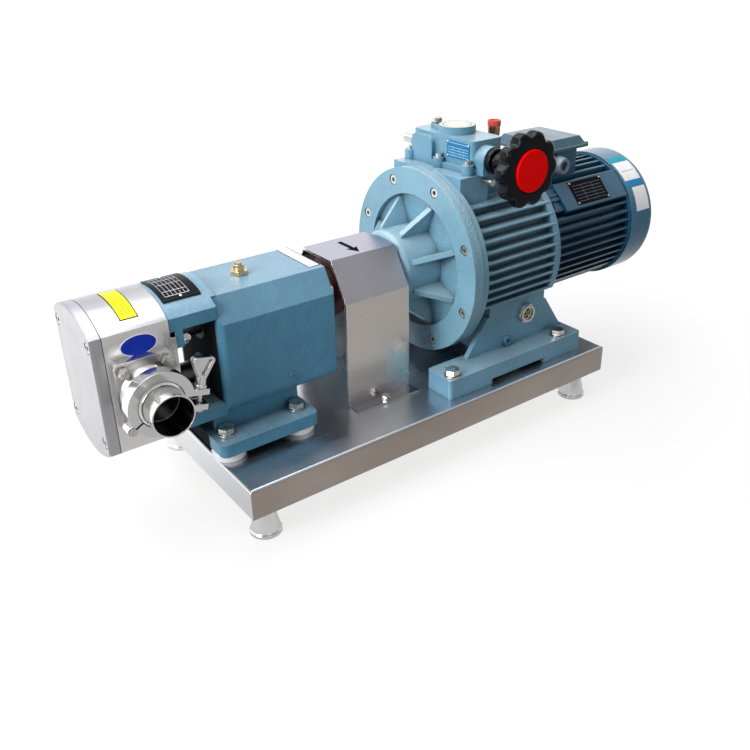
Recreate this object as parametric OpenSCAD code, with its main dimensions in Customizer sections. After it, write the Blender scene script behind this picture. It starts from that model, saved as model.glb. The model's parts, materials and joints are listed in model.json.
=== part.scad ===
// Stainless rotary lobe pump on a base tray, driven by a stepless variator and its motor.
// X runs along the shafts from the pump head to the motor, -Y is the outlet side, Z is up.
// The origin is the middle of the whole length, on the plane that the feet stand on.

/* [Base tray] */
// Length of the folded tray
tray_l = 635; // [625:1:760]
// Width of the tray
tray_w = 320; // [310:1:400]
// Height of the tray skirt
tray_h = 42; // [30:1:70]
// Sheet thickness of the tray
tray_t = 3; // [2:0.5:5]
// Height of the feet below the tray
foot_h = 48; // [30:1:80]
// Diameter of a foot at the floor
foot_d = 42; // [32:1:60]
// Distance of a foot from the tray's ends and sides
foot_inset = 31; // [27:1:60]
// How far the tray reaches out in front of the gear housing
tray_lead = 25; // [20:1:45]

/* [Shafts] */
// Height of the drive shaft above the tray
axis_h = 160; // [156:1:190]
// Distance between the two pump shafts, also the sum of the rotor and hub radii
shaft_c = 66; // [65:1:70]
// Diameter of the bearing journals of both pump shafts
journal_d = 30; // [26:1:32]
// Outside diameter of the pump bearings
bearing_od = 55; // [52:1:58]
// Width of a pump bearing
bearing_w = 13; // [10:1:16]
// Diameter of the splined shaft nose, over the splines
spline_d = 25; // [22:1:26]
// Number of splines
spline_n = 8; // [6:1:10]

/* [Pump head] */
// Width of the rotor casing
casing_w = 126; // [122:1:146]
// Height of the flat sides of the casing
casing_flat_h = 150; // [146:1:170]
// Rise of the curved top and of the curved bottom
casing_arc = 20; // [12:1:30]
// Length of the rotor casing
casing_l = 78; // [70:1:90]
// Wall behind the rotors
back_wall = 16; // [12:1:20]
// Thickness of the front cover
cover_t = 14; // [12:1:20]
// Diameter of a rotor over its wings
rotor_d = 94; // [86:1:95]
// Gap between a rotor wing and the casing bore
rotor_gap = 0.5; // [0.3:0.1:1]
// Width of a rotor wing at its tip, in degrees
wing_angle = 85; // [76:1:87]
// Length of the open neck between the casing and the gear housing
neck_l = 60; // [50:1:80]

/* [Ports] */
// Outside diameter of the port tubes
port_d = 50.8; // [38:0.1:54]
// Wall of the port tubes
port_wall = 1.6; // [1.2:0.1:3]
// Distance of a tube's open end from the middle of the pump
port_reach = 146; // [135:1:170]
// Diameter of the clamped ferrule rims
ferrule_d = 64; // [60:0.5:68]
// Distance of the clamped joint from the middle of the pump
joint_y = 106; // [100:1:112]
// Turn of each clamp about its port, which sets where its lugs point
clamp_turn = -12; // [-20:1:20]

/* [Gear housing] */
// Length of the gear housing
gear_l = 165; // [150:1:190]
// Width of the gear housing
gear_w = 134; // [132:1:150]
// Height of the roof above the drive shaft
roof_h = 49; // [48:1:56]
// Wall thickness of the gear housing
gear_wall = 10; // [7:1:12]
// Teeth of each timing gear
gear_teeth = 22; // [18:1:26]
// Width of each timing gear
gear_face = 28; // [20:1:36]
// Height of the four mounting pads
pad_h = 11; // [8:1:14]

/* [Coupling] */
// Free length between the gear housing and the variator nose
coupling_gap = 128; // [120:1:150]
// Diameter of the coupling
coupling_d = 88; // [76:1:90]
// Diameter of the pump's shaft end
pump_end_d = 25; // [20:1:28]
// Diameter of the variator's shaft end
drive_end_d = 28; // [22:1:30]
// Length of the coupling guard
guard_l = 106; // [95:1:112]
// Sheet thickness of the guard
guard_t = 2; // [1.5:0.5:3]

/* [Variator] */
// Diameter of the output cover
cover_d = 276; // [262:1:290]
// Thickness of the output cover's rim
rim_t = 17; // [14:1:22]
// Length of the nose in front of the rim
nose_l = 56; // [50:1:70]
// Diameter of the nose
nose_d = 112; // [100:1:120]
// Length of the variator housing behind its flange
housing_l = 158; // [150:1:180]
// Diameter of the housing barrel, without fins
barrel_d = 222; // [214:1:228]
// Diameter over the fins
fin_d = 254; // [240:1:258]
// Distance from one cooling fin to the next
fin_pitch = 14.2; // [12:0.1:18]
// Thickness of a cooling fin
fin_t = 4.5; // [3:0.5:7]
// Length of the variator's feet
sole_l = 270; // [250:1:290]
// Width over the variator's feet
sole_w = 282; // [270:1:296]
// Thickness of the feet
sole_t = 30; // [22:1:36]

/* [Speed control] */
// Height of the handwheel shaft above the output shaft
wheel_h = 153; // [150:1:160]
// Distance of the handwheel shaft behind the output cover
wheel_x = 59; // [55:1:70]
// Diameter of the handwheel
wheel_d = 104; // [90:1:112]
// Distance of the handwheel's middle plane from the shaft axis
wheel_y = 148; // [142:1:152]
// Number of grip lobes on the handwheel
wheel_lobes = 10; // [6:1:12]
// Diameter of the speed dial
dial_d = 50; // [36:1:52]

/* [Motor] */
// Length of the finned motor frame
motor_l = 186; // [160:1:220]
// Diameter over the motor fins
motor_d = 200; // [186:1:206]
// Diameter of the fan cowl
cowl_d = 208; // [200:1:216]
// Length of the fan cowl, with the lap over the motor
cowl_l = 60; // [50:1:80]
// Length of the terminal box lid along the motor
lid_l = 104; // [90:1:120]
// Width of the terminal box lid
lid_w = 110; // [96:1:120]

/* [Hidden] */
$fn = 64;

steel = [0.78, 0.78, 0.80];
bright_steel = [0.86, 0.86, 0.88];
teal = [0.33, 0.55, 0.64];
pale_blue = [0.60, 0.74, 0.79];
motor_blue = [0.22, 0.36, 0.42];
brass = [0.80, 0.66, 0.34];
coupling_red = [0.40, 0.06, 0.06];
black = [0.06, 0.06, 0.07];
white_plastic = [0.90, 0.92, 0.93];

clear = 0.3;                        // gap between curved faces that move past each other
fit = 0.05;                         // radial play of a running fit
eps = 0.01;

// Heights
tray_z = foot_h + tray_h;
axis_z = tray_z + axis_h;
lower_z = axis_z - shaft_c;
port_z = (axis_z + lower_z) / 2;

// Stations along the shafts, from the front cover back to the fan cowl
flange_t = 9;
motor_flange_t = 10;
cowl_lap = 6;
total_l = cover_t + casing_l + neck_l + gear_l + coupling_gap + nose_l + rim_t + flange_t
  + housing_l + motor_flange_t + motor_l + cowl_l - cowl_lap;
cover_x0 = -total_l / 2;
casing_x0 = cover_x0 + cover_t;
casing_x1 = casing_x0 + casing_l;
gear_x = casing_x1 + neck_l;
gear_x1 = gear_x + gear_l;
nose_x = gear_x1 + coupling_gap;
rim_x = nose_x + nose_l;
flange_x = rim_x + rim_t;
barrel_x = flange_x + flange_t;
housing_x1 = barrel_x + housing_l;
frame_x = housing_x1 + motor_flange_t;
frame_x1 = frame_x + motor_l;
port_x = (casing_x0 + casing_x1) / 2;
chamber_l = casing_l - back_wall;

// Turns a shape drawn in XY and raised along Z, so that it lies in YZ and points along +X.
module along_x(x = 0, z = 0) {
  translate([x, 0, z]) rotate([90, 0, 90]) children();
}

// Turns a shape raised along Z, so that it points along -Y from the plane y = -start.
module outward(start = 0) {
  translate([0, -start, 0]) rotate([90, 0, 0]) children();
}

// Both ports carry the same pieces, on the outlet side and on the inlet side.
module both_ports() {
  for (side = [0, 1]) mirror([0, side, 0]) children();
}

module four_corners(dx, dy) {
  for (sx = [-1, 1], sy = [-1, 1]) translate([sx * dx, sy * dy]) children();
}

module ring(d_out, d_in, h) {
  difference() {
    cylinder(d = d_out, h = h);
    translate([0, 0, -eps]) cylinder(d = d_in, h = h + 2 * eps);
  }
}

// Rectangle in the middle of the plane with true round corners.
module round_rect(w, h, r) {
  square([w - 2 * r, h], center = true);
  square([w, h - 2 * r], center = true);
  four_corners(w / 2 - r, h / 2 - r) circle(r);
}

// Hexagon head bolt with a washer face, head upward, shank below z = 0.
module hex_bolt(d, head_af, head_h, shank) {
  translate([0, 0, 1]) cylinder(d = head_af / cos(30), h = head_h - 1, $fn = 6);
  cylinder(d = head_af * 0.96, h = 1.5);
  translate([0, 0, -shank]) cylinder(d = d, h = shank + eps);
}

// Socket head cap screw, head upward from z = 0.
module socket_screw(d, head_d, head_h, shank) {
  difference() {
    cylinder(d = head_d, h = head_h);
    translate([0, 0, head_h * 0.45]) cylinder(d = head_d * 0.55, h = head_h, $fn = 6);
  }
  translate([0, 0, -shank]) cylinder(d = d, h = shank + eps);
}

// Base tray and feet

bolt_pad_x = gear_x + 46;           // middle of the gear housing's foot
gear_foot_l = 142;
gear_foot_w = 186;
gear_bolt_dx = 51.5;
gear_bolt_dy = 67.5;
sole_x = rim_x + 91;                // middle of the variator's feet
sole_bolt_x = sole_x - 13;
sole_bolt_dx = sole_l / 2 - 27.5;
sole_bolt_dy = sole_w / 2 - 13;
tray_x = gear_x - tray_lead + tray_l / 2;
guard_x = gear_x1 + (coupling_gap - guard_l) / 2 + 6.5;
guard_w = 136;
guard_flange = 26;
guard_screw_y = guard_w / 2 + guard_flange / 2 + 1;
m12_hole = 13;
m6_hole = 6.6;

module tray_holes_2d() {
  translate([bolt_pad_x, 0]) four_corners(gear_bolt_dx, gear_bolt_dy) circle(d = m12_hole);
  translate([sole_bolt_x, 0]) four_corners(sole_bolt_dx, sole_bolt_dy) circle(d = m12_hole);
  for (s = [-1, 1]) translate([guard_x + guard_l / 2, s * guard_screw_y]) circle(d = m6_hole);
}

bend_r = 4;
channel_w = 40;
channel_h = 14;
socket_d = 28;
stud_d = 12;

// Section of the folded sheet: a flat top and two skirts with round outer bends.
module tray_section(w, h) {
  translate([0, -h / 2]) intersection() {
    round_rect(w, h, bend_r);
    square([w, h], center = true);
  }
  translate([0, -h + bend_r / 2]) square([w, bend_r], center = true);
}

module at_feet(z) {
  translate([tray_x, 0, z]) four_corners(tray_l / 2 - foot_inset, tray_w / 2 - foot_inset) children();
}

module base_tray() {
  inner_l = tray_l - 2 * tray_t;
  inner_w = tray_w - 2 * tray_t;
  color(steel) difference() {
    translate([tray_x, 0, tray_z]) intersection() {
      translate([-tray_l / 2, 0, 0]) along_x() linear_extrude(tray_l) tray_section(tray_w, tray_h);
      outward(-tray_w / 2) linear_extrude(tray_w) tray_section(tray_l, tray_h);
    }
    difference() {
      translate([tray_x - inner_l / 2, -inner_w / 2, foot_h - 1])
        cube([inner_l, inner_w, tray_h - tray_t + 1]);
      // bars under the gear housing and under the variator's feet
      for (x = [bolt_pad_x - gear_bolt_dx, bolt_pad_x + gear_bolt_dx,
                sole_bolt_x - sole_bolt_dx, sole_bolt_x + sole_bolt_dx])
        translate([x - channel_w / 2, -inner_w / 2 - eps, tray_z - tray_t - channel_h])
          cube([channel_w, inner_w + 2 * eps, channel_h + eps]);
      // sockets that the feet screw into
      at_feet(foot_h) cylinder(d = socket_d, h = tray_h);
    }
    translate([0, 0, tray_z - 30]) linear_extrude(31) tray_holes_2d();
    at_feet(foot_h - 1) cylinder(d = stud_d + 0.4, h = tray_h - tray_t - 3);
  }
}

// Turned bell feet with a shallow recess underneath and a threaded stud on top.
module base_feet() {
  color(bright_steel) at_feet(0) {
    rotate_extrude() difference() {
      polygon([[0, 0], [foot_d / 2 - 1, 0], [foot_d / 2, 1], [foot_d / 2, 5],
               [foot_d / 2 - 1.5, 7], [11, foot_h], [0, foot_h]]);
      translate([-1, -1]) square([foot_d / 4, 2.5]);
    }
    translate([0, 0, foot_h - 1]) cylinder(d = stud_d, h = tray_h - tray_t - 7);
  }
}

// Pump head

casing_r = (pow(casing_w / 2, 2) + pow(casing_arc, 2)) / (2 * casing_arc);
casing_top = port_z + casing_flat_h / 2 + casing_arc;

// Outline of the head: flat sides, shallow arcs at the top and bottom, shrunk by inset.
module casing_outline(inset = 0) {
  half_h = casing_flat_h / 2 + casing_arc - inset;
  translate([0, port_z]) intersection() {
    square([casing_w - 2 * inset, 2 * half_h], center = true);
    translate([0, half_h - casing_r + inset]) circle(casing_r - inset);
    translate([0, casing_r - inset - half_h]) circle(casing_r - inset);
  }
}

rotor_r = rotor_d / 2;
bore_r = rotor_r + rotor_gap;
hub_r = shaft_c - bore_r;
rotor_w = chamber_l - 2 * rotor_gap;
rotor_x = casing_x0 + rotor_gap;
nut_d = 30;
nut_h = 8;
recess_d = 33;
recess_t = 4;
cover_screw_y = casing_w / 2 - 12;
cover_screw_z = casing_flat_h / 2 - 13;
screw_head_d = 13;
screw_sink = 8;

module at_both_shafts() {
  for (z = [axis_z, lower_z]) translate([0, z]) children();
}

seam = 0.9;                         // shallow rebate where the cover meets the casing

module front_cover() {
  color(steel) difference() {
    union() {
      along_x(cover_x0) linear_extrude(cover_t) casing_outline(2.2);
      along_x(cover_x0 + 0.7) linear_extrude(cover_t - 0.7) casing_outline(0.9);
      along_x(cover_x0 + 2) linear_extrude(cover_t - 2 - seam) casing_outline();
    }
    along_x(casing_x0 - nut_h) linear_extrude(nut_h + 1)
      at_both_shafts() circle(d = nut_d + 4);
    along_x(cover_x0 - 1) linear_extrude(cover_t + 2) translate([0, port_z])
      four_corners(cover_screw_y, cover_screw_z) circle(d = 8.4);
    along_x(cover_x0 - 1) linear_extrude(screw_sink + 1) translate([0, port_z])
      four_corners(cover_screw_y, cover_screw_z) circle(d = screw_head_d + 2);
    along_x(casing_x0 - 2) linear_extrude(3) seal_groove_2d();
  }
}

seal_w = 3;
seal_r = bore_r + 2;                // inner radius of the cover's sealing ring

// Race-track groove that the cover's ring lies in, around both rotor bores.
module seal_groove_2d() {
  difference() {
    race_track(seal_r + seal_w);
    race_track(seal_r);
  }
}

module race_track(r) {
  at_both_shafts() circle(r);
  translate([0, port_z]) square([2 * r, shaft_c], center = true);
}

module cover_screws() {
  color(bright_steel) along_x(cover_x0 + screw_sink, port_z) rotate([0, 180, 0])
    four_corners(cover_screw_y, cover_screw_z)
      socket_screw(8, screw_head_d, screw_sink - 0.6, cover_t - screw_sink + 22);
}

module rotor_casing() {
  color(steel) difference() {
    union() {
      along_x(casing_x0) linear_extrude(casing_l) casing_outline();
      // rear lugs that the studs pass through
      for (s = [-1, 1])
        translate([casing_x1 - eps, s * stud_y - lug_w / 2, port_z - rear_lug_h / 2])
          cube([rear_lug_t + eps, lug_w, rear_lug_h]);
    }
    along_x(casing_x0 - 1) linear_extrude(chamber_l + 1) at_both_shafts() circle(bore_r);
    along_x(casing_x1 - back_wall - 1) linear_extrude(back_wall + 2)
      at_both_shafts() circle(d = seal_od + 2 * fit);
    translate([port_x, -casing_w / 2 - 1, port_z]) rotate([-90, 0, 0])
      cylinder(r = port_bore_r, h = casing_w + 2);
    along_x(casing_x0 - 1) linear_extrude(24) translate([0, port_z])
      four_corners(cover_screw_y, cover_screw_z) circle(d = m8 + 2 * fit);
    along_x(casing_x1 - 12) linear_extrude(12 + rear_lug_t + 1) translate([0, port_z])
      four_corners(stud_y, stud_z) circle(d = m8_hole);
    both_ports() translate([port_x, 0, port_z]) outward(casing_w / 2 - 12) linear_extrude(13)
      four_corners(port_screw_dx, port_screw_dz) circle(d = m8 + 2 * fit);
  }
}

rear_lug_t = 7;
rear_lug_h = 104;
lug_w = 15;
ear_l = 10;                         // ear of the neck behind each lug
stud_y = casing_w / 2 - lug_w / 2;
stud_z = 44;
m8 = 8;
m8_hole = 8.6;

module casing_nuts() {
  color(bright_steel) along_x(casing_x1 + rear_lug_t + ear_l, port_z) four_corners(stud_y, stud_z) {
    cylinder(d = 13 / cos(30), h = 6.5, $fn = 6);
    translate([0, 0, 6]) sphere(d = 12);
    translate([0, 0, -ear_l - rear_lug_t - 11]) cylinder(d = m8, h = 12 + rear_lug_t + ear_l);
  }
}

seal_od = 46;
seal_bore = journal_d + 2 * clear;
gland_l = 14;

module shaft_seals() {
  color(bright_steel) along_x(casing_x1 - back_wall + 1) at_both_shafts() {
    ring(seal_od, seal_bore, back_wall - 1);
    translate([0, 0, back_wall - 1 - eps]) ring(seal_od - 6, seal_bore, gland_l);
  }
}

module sealing_rings() {
  color(white_plastic) {
    along_x(casing_x0 - 2) linear_extrude(2) difference() {
      race_track(seal_r + seal_w - clear);
      race_track(seal_r + clear);
    }
    both_ports() translate([port_x, 0, port_z]) outward(joint_y - gasket_t / 2)
      ring(ferrule_d - 3, 2 * port_bore_r, gasket_t);
  }
}

// Rotors

// Point at distance r and angle a.
function polar(r, a) = [r * cos(a), r * sin(a)];

// The flank of a wing is the path that the other rotor's wing tip draws on this rotor:
// its shaft circles this one at the centre distance while the rotor turns twice as fast.
tip_r = rotor_r + rotor_gap;
flank_steps = 14;
flank_end = acos(shaft_c / (2 * tip_r));
function flank(t) = polar(shaft_c, t) - polar(tip_r, 2 * t);
function turned(p, a) = [p.x * cos(a) - p.y * sin(a), p.x * sin(a) + p.y * cos(a)];
function flank_points(base, side) =
  [for (i = [0 : flank_steps])
    let (p = flank(flank_end * i / flank_steps)) turned([p.x, side * p.y], base)];

// The open space between two wings, from the hub out past the wing tips.
module wing_gap_2d() {
  half = wing_angle / 2;
  upper = flank_points(half, 1);
  lower = flank_points(180 - half, -1);
  outer = [for (a = [half : (180 - 2 * half) / 6 : 180 - half]) polar(1.3 * rotor_r, a)];
  polygon(concat(upper, outer, [for (i = [flank_steps : -1 : 0]) lower[i]], [[0, 0]]));
}

module rotor_outline() {
  difference() {
    circle(rotor_r);
    wing_gap_2d();
    rotate(180) wing_gap_2d();
  }
  circle(hub_r - rotor_gap);
}

spline_depth = 2;
spline_t = 5;

module spline_2d(play = 0) {
  circle(d = spline_d - 2 * spline_depth + 2 * play);
  for (i = [0 : spline_n - 1]) rotate(i * 360 / spline_n)
    translate([0, -spline_t / 2 - play]) square([spline_d / 2 + play, spline_t + 2 * play]);
}

module rotor(z, phase) {
  along_x(rotor_x, z) rotate(phase) difference() {
    linear_extrude(rotor_w) difference() {
      rotor_outline();
      spline_2d(0.1);
    }
    translate([0, 0, -1]) cylinder(d = recess_d, h = recess_t + 1);
    translate([0, 0, rotor_w - recess_t]) cylinder(d = recess_d, h = recess_t + 1);
  }
}

module upper_rotor() { color(steel) rotor(axis_z, 0); }
module lower_rotor() { color(steel) rotor(lower_z, 90); }

// Round nut with a hexagon recess that holds a rotor on its splines.
module rotor_nut(z) {
  along_x(rotor_x + recess_t - nut_h, z) difference() {
    union() {
      cylinder(d = nut_d - 4, h = nut_h);
      translate([0, 0, 1.5]) cylinder(d = nut_d, h = nut_h - 1.5);
    }
    translate([0, 0, -eps]) cylinder(d = 12, h = 4, $fn = 6);
  }
}

module upper_rotor_nut() { color(bright_steel) rotor_nut(axis_z); }
module lower_rotor_nut() { color(bright_steel) rotor_nut(lower_z); }

// Ports and clamps

port_bore_r = port_d / 2 - port_wall;
plate_t = 12;
plate_w = 72;
plate_h = 88;
port_screw_dx = plate_w / 2 - 10;
port_screw_dz = plate_h / 2 - 11;
gasket_t = 2;
ferrule_t = 3;
ferrule_cone = 5;

// Half section of a clamp ferrule: a rim with a sloping back, on a tube of the port's diameter.
module ferrule_section(neck) {
  rim = ferrule_d / 2;
  tube = port_d / 2;
  polygon([[port_bore_r, 0], [rim, 0], [rim, ferrule_t], [tube + 1.5, ferrule_t + ferrule_cone],
           [tube, ferrule_t + ferrule_cone + 1.5], [tube, neck], [port_bore_r, neck]]);
}

module port_flanges() {
  flare_y = casing_w / 2 + plate_t;
  neck = joint_y - gasket_t / 2 - flare_y;
  flare_w = 8;
  flare_h = 20;
  flare_r = (pow(flare_w, 2) + pow(flare_h, 2)) / (2 * flare_w);
  color(bright_steel) both_ports() translate([port_x, 0, port_z]) {
    difference() {
      outward(casing_w / 2) linear_extrude(plate_t) round_rect(plate_w, plate_h, 6);
      outward(casing_w / 2 - 1) cylinder(r = port_bore_r, h = plate_t + 2);
      outward(casing_w / 2 - 1) linear_extrude(plate_t + 2)
        four_corners(port_screw_dx, port_screw_dz) circle(d = m8_hole);
    }
    outward(joint_y - gasket_t / 2) mirror([0, 0, 1]) rotate_extrude() ferrule_section(neck);
    // concave flare that runs from the plate into the tube
    outward(flare_y - eps) rotate_extrude() difference() {
      translate([port_bore_r, 0]) square([port_wall + flare_w, flare_h]);
      translate([port_d / 2 + flare_r, flare_h]) circle(flare_r, $fn = 128);
    }
  }
}

module port_screws() {
  color(bright_steel) both_ports() translate([port_x, 0, port_z]) outward(casing_w / 2 + plate_t)
    four_corners(port_screw_dx, port_screw_dz) hex_bolt(m8, 13, 6.5, plate_t + 10);
}

module port_stubs() {
  stub_l = port_reach - joint_y - gasket_t / 2;
  color(bright_steel) both_ports() translate([port_x, 0, port_z]) outward(joint_y + gasket_t / 2)
    rotate_extrude() ferrule_section(stub_l);
}

clamp_w = 17;
clamp_r = 40;
hinge_angle = 222;                  // from the lugs round to the hinge, over the top
lug_t = 7;
lug_gap = 12;
lug_x = 57;
swing_x = 49;
bolt_end = 12;                      // length of the swing bolt past its lug

module clamp_ring_section() {
  rim = ferrule_d / 2 + clear;
  half = gasket_t / 2 + ferrule_t + clear;
  difference() {
    translate([port_d / 2 + 3, -clamp_w / 2]) square([clamp_r - port_d / 2 - 3, clamp_w]);
    polygon([[0, -half - ferrule_cone], [port_d / 2 + 2, -half - ferrule_cone], [rim, -half],
             [rim, half], [port_d / 2 + 2, half + ferrule_cone], [0, half + ferrule_cone]]);
  }
}

// Frame of a clamp: its Z runs outward along the port, its X points at the lugs.
module on_clamp() {
  both_ports() translate([port_x, 0, port_z]) outward(joint_y) rotate(clamp_turn) children();
}

// Sector from angle a to angle b, as a polygon wider than the clamp.
module sector_2d(a, b) {
  polygon(concat([[0, 0]], [for (i = [0 : 6]) polar(100, a + (b - a) * i / 6)]));
}

module clamp_halves() {
  hinge_r = clamp_r + 3;
  color(bright_steel) on_clamp() difference() {
    union() {
      rotate_extrude() clamp_ring_section();
      for (s = [0, 1]) mirror([0, s, 0]) translate([clamp_r - 5, lug_gap / 2, -clamp_w / 2])
        cube([lug_x - clamp_r + 5, lug_t, clamp_w]);
      rotate(hinge_angle) translate([hinge_r, 0, 0.5 - clamp_w / 2]) cylinder(r = 6, h = clamp_w - 1);
    }
    // the slits at the lugs and at the hinge part the ring into its two halves
    translate([port_d / 2, -lug_gap / 2, -clamp_w]) cube([60, lug_gap, 2 * clamp_w]);
    rotate(hinge_angle) translate([port_d / 2, -1.2, -clamp_w]) cube([30, 2.4, 2 * clamp_w]);
    rotate(hinge_angle) translate([hinge_r, 0, -clamp_w]) cylinder(d = 6.3, h = 2 * clamp_w);
    translate([swing_x, 0, 0]) rotate([90, 0, 0]) cylinder(d = 8.4, h = 60, center = true);
  }
}

module clamp_bolts() {
  hinge_r = clamp_r + 3;
  color(bright_steel) on_clamp() {
    rotate(hinge_angle) translate([hinge_r, 0, -clamp_w / 2 - 1.5]) {
      cylinder(d = 6, h = clamp_w + 3);
      cylinder(d = 9, h = 1.2);
      translate([0, 0, clamp_w + 1.8]) cylinder(d = 9, h = 1.2);
    }
    translate([swing_x, 0, 0]) rotate([90, 0, 0])
      translate([0, 0, -lug_gap / 2 - lug_t - bolt_end])
        cylinder(d = 6, h = lug_gap + 2 * lug_t + bolt_end);
    translate([swing_x, -lug_gap / 2 - lug_t, 0]) rotate([90, 0, 0]) cylinder(d = 11, h = 4);
  }
}

// Wing nut of a clamp, with its wings in the plane across the bolt.
module wing_nut(side) {
  hub_h = 15;
  wing_h = 25;
  wing_t = 9;
  mirror([0, side, 0]) translate([port_x, 0, port_z]) outward(joint_y) rotate(clamp_turn)
    translate([swing_x, lug_gap / 2 + lug_t + clear, 0]) rotate([-90, 0, 0]) difference() {
      union() {
        cylinder(d = 12, h = hub_h);
        cylinder(d = 15, h = 3);
        translate([0, wing_t / 2, hub_h - 2]) rotate([90, 0, 0])
          linear_extrude(wing_t) wing_2d(wing_h);
      }
      translate([0, 0, -eps]) cylinder(d = 6 + 2 * fit, h = bolt_end + 1);
      for (y = [wing_t / 2 + 1, -1.5]) translate([0, y, hub_h + 1]) rotate([90, 0, 0])
        linear_extrude(wing_t / 2 - 0.5) offset(delta = -3.5) wing_2d(wing_h - 2);
    }
}

module wing_2d(h) {
  hull() {
    translate([0, 2]) circle(5.5, $fn = 32);
    translate([-9, h - 5]) circle(4.5, $fn = 32);
    translate([9, h - 5]) circle(4.5, $fn = 32);
  }
}

module outlet_wing_nut() { color(bright_steel) wing_nut(0); }
module inlet_wing_nut() { color(bright_steel) wing_nut(1); }

// Gear housing

roof_w = 94;
chamfer_h = 32;
shell_z0 = tray_z + 55;             // underside of the gear case
gear_foot_z = tray_z + pad_h;
gear_foot_t = 18;
window_top = port_z + casing_flat_h / 2 - 17;
window_bottom = port_z - casing_flat_h / 2 + 17;

// Cross-section of the gear case: flat roof, sloping shoulders, upright sides, round lower corners.
module gear_case_2d(inset = 0) {
  w = gear_w / 2 - inset;
  top = axis_z + roof_h - inset;
  low = shell_z0 + inset;
  r = 16;
  polygon([[-w, low + r], [-w, top - chamfer_h], [-roof_w / 2 + inset / 2, top],
           [roof_w / 2 - inset / 2, top], [w, top - chamfer_h], [w, low + r]]);
  translate([-w + r, low]) square([2 * (w - r), r + 1]);
  for (s = [-1, 1]) translate([s * (w - r), low + r]) circle(r);
}

front_wall = bearing_w + 8;
rear_cover_t = bearing_w + 5;
cover_inset = 4;                    // rim of the case around the rear cover
m6 = 6;

// Rounds the upright front edges of the case and its lower edge at the rear.
module rounded_case() {
  front_r = 9;
  rear_r = 12;
  high = axis_z + roof_h - shell_z0 + 1;
  intersection() {
    children();
    translate([gear_x, 0, shell_z0 - 1]) linear_extrude(high + 2) {
      translate([front_r, -gear_w / 2]) square([gear_l, gear_w]);
      translate([0, front_r - gear_w / 2]) square([front_r + 1, gear_w - 2 * front_r]);
      for (s = [-1, 1]) translate([front_r, s * (gear_w / 2 - front_r)]) circle(front_r);
    }
    outward(-gear_w) linear_extrude(2 * gear_w) translate([gear_x, shell_z0]) {
      square([gear_l - rear_r, high]);
      translate([0, rear_r]) square([gear_l, high]);
      translate([gear_l - rear_r, rear_r]) circle(rear_r);
    }
  }
}

module gear_housing() {
  color(teal) difference() {
    union() {
      rounded_case() along_x(gear_x) linear_extrude(gear_l) gear_case_2d();
      // pedestal and foot
      translate([bolt_pad_x - 62, 13.5 - gear_bolt_dy, gear_foot_z + gear_foot_t - eps])
        cube([124, 2 * gear_bolt_dy - 27, shell_z0 - gear_foot_z - gear_foot_t + 12]);
      translate([bolt_pad_x, 0, gear_foot_z]) linear_extrude(gear_foot_t)
        round_rect(gear_foot_l, gear_foot_w, 9);
      // arched bridges of the open neck, with ears that the casing is bolted to
      along_x(casing_x1) linear_extrude(neck_l + 2) neck_2d();
      along_x(casing_x1) linear_extrude(neck_l + 8) neck_core_2d();
      for (sy = [-1, 1], sz = [-1, 1]) translate([casing_x1 + rear_lug_t, sy * stud_y - 6.5,
          port_z + (sz > 0 ? stud_z - 8 : -(window_top - window_bottom) / 2 - 4)])
        cube([ear_l, 13, (window_top - window_bottom) / 2 + 12 - stud_z]);
    }
    difference() {
      along_x(gear_x + front_wall) linear_extrude(gear_l) gear_case_2d(gear_wall);
      along_x(gear_x1 - rear_cover_t - 24) linear_extrude(24) cover_bolts_2d(16);
    }
    along_x(gear_x1 - rear_cover_t) linear_extrude(rear_cover_t + 1) gear_case_2d(cover_inset);
    // oil sump that reaches down into the pedestal, under the lower gear
    translate([gear_x + front_wall, -gear_w / 2 + 20, tray_z + 40])
      cube([bolt_pad_x + 50 - gear_x - front_wall, gear_w - 40, 40]);
    along_x(gear_x1 - rear_cover_t - 16) linear_extrude(17) cover_bolts_2d(m6 + 2 * fit);
    along_x(casing_x1) linear_extrude(neck_l - 8) translate([0, port_z])
      four_corners(stud_y, stud_z) circle(d = m8_hole);
    along_x(gear_x - 1) linear_extrude(front_wall + 2) at_both_shafts() circle(d = seal_ring_od);
    along_x(gear_x + front_wall - bearing_w) linear_extrude(bearing_w + 1)
      at_both_shafts() circle(d = bearing_od + 2 * fit);
    translate([bolt_pad_x, 0, gear_foot_z - 1]) linear_extrude(gear_foot_t + 2)
      four_corners(gear_bolt_dx, gear_bolt_dy) circle(d = m12_hole);
    translate([filler_x, 0, axis_z + roof_h - gear_wall - 1])
      cylinder(d = 13 + 2 * fit, h = gear_wall + 2);
    translate([drain_x, -gear_w / 2 - 1, drain_z]) rotate([-90, 0, 0])
      cylinder(d = 10 + 2 * fit, h = 14);
  }
}

filler_x = gear_x + 66;
drain_x = gear_x + 96;
drain_z = shell_z0 + 24;

// The two arches that carry the casing, above and below the side windows.
module neck_2d() {
  difference() {
    casing_outline(1);
    casing_outline(13);
    translate([0, port_z]) square([2 * casing_w, window_top - window_bottom], center = true);
  }
}

// Thickened middle of each arch.
module neck_core_2d() {
  difference() {
    intersection() {
      casing_outline(1);
      translate([0, port_z]) square([casing_w - 30, 2 * casing_flat_h], center = true);
    }
    translate([0, port_z]) square([2 * casing_w, window_top - window_bottom + 22], center = true);
  }
}

module gear_rear_cover() {
  color(teal) difference() {
    rounded_case()
      along_x(gear_x1 - rear_cover_t) linear_extrude(rear_cover_t) gear_case_2d(cover_inset + 0.2);
    along_x(gear_x1 - rear_cover_t - 1) linear_extrude(bearing_w + 1)
      at_both_shafts() circle(d = bearing_od + 2 * fit);
    along_x(gear_x1 - rear_cover_t - 1, axis_z) linear_extrude(rear_cover_t + 2)
      circle(d = seal_ring_od);
    along_x(gear_x1 - rear_cover_t - 1) linear_extrude(rear_cover_t + 2) cover_bolts_2d(m6_hole);
  }
}

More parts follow.
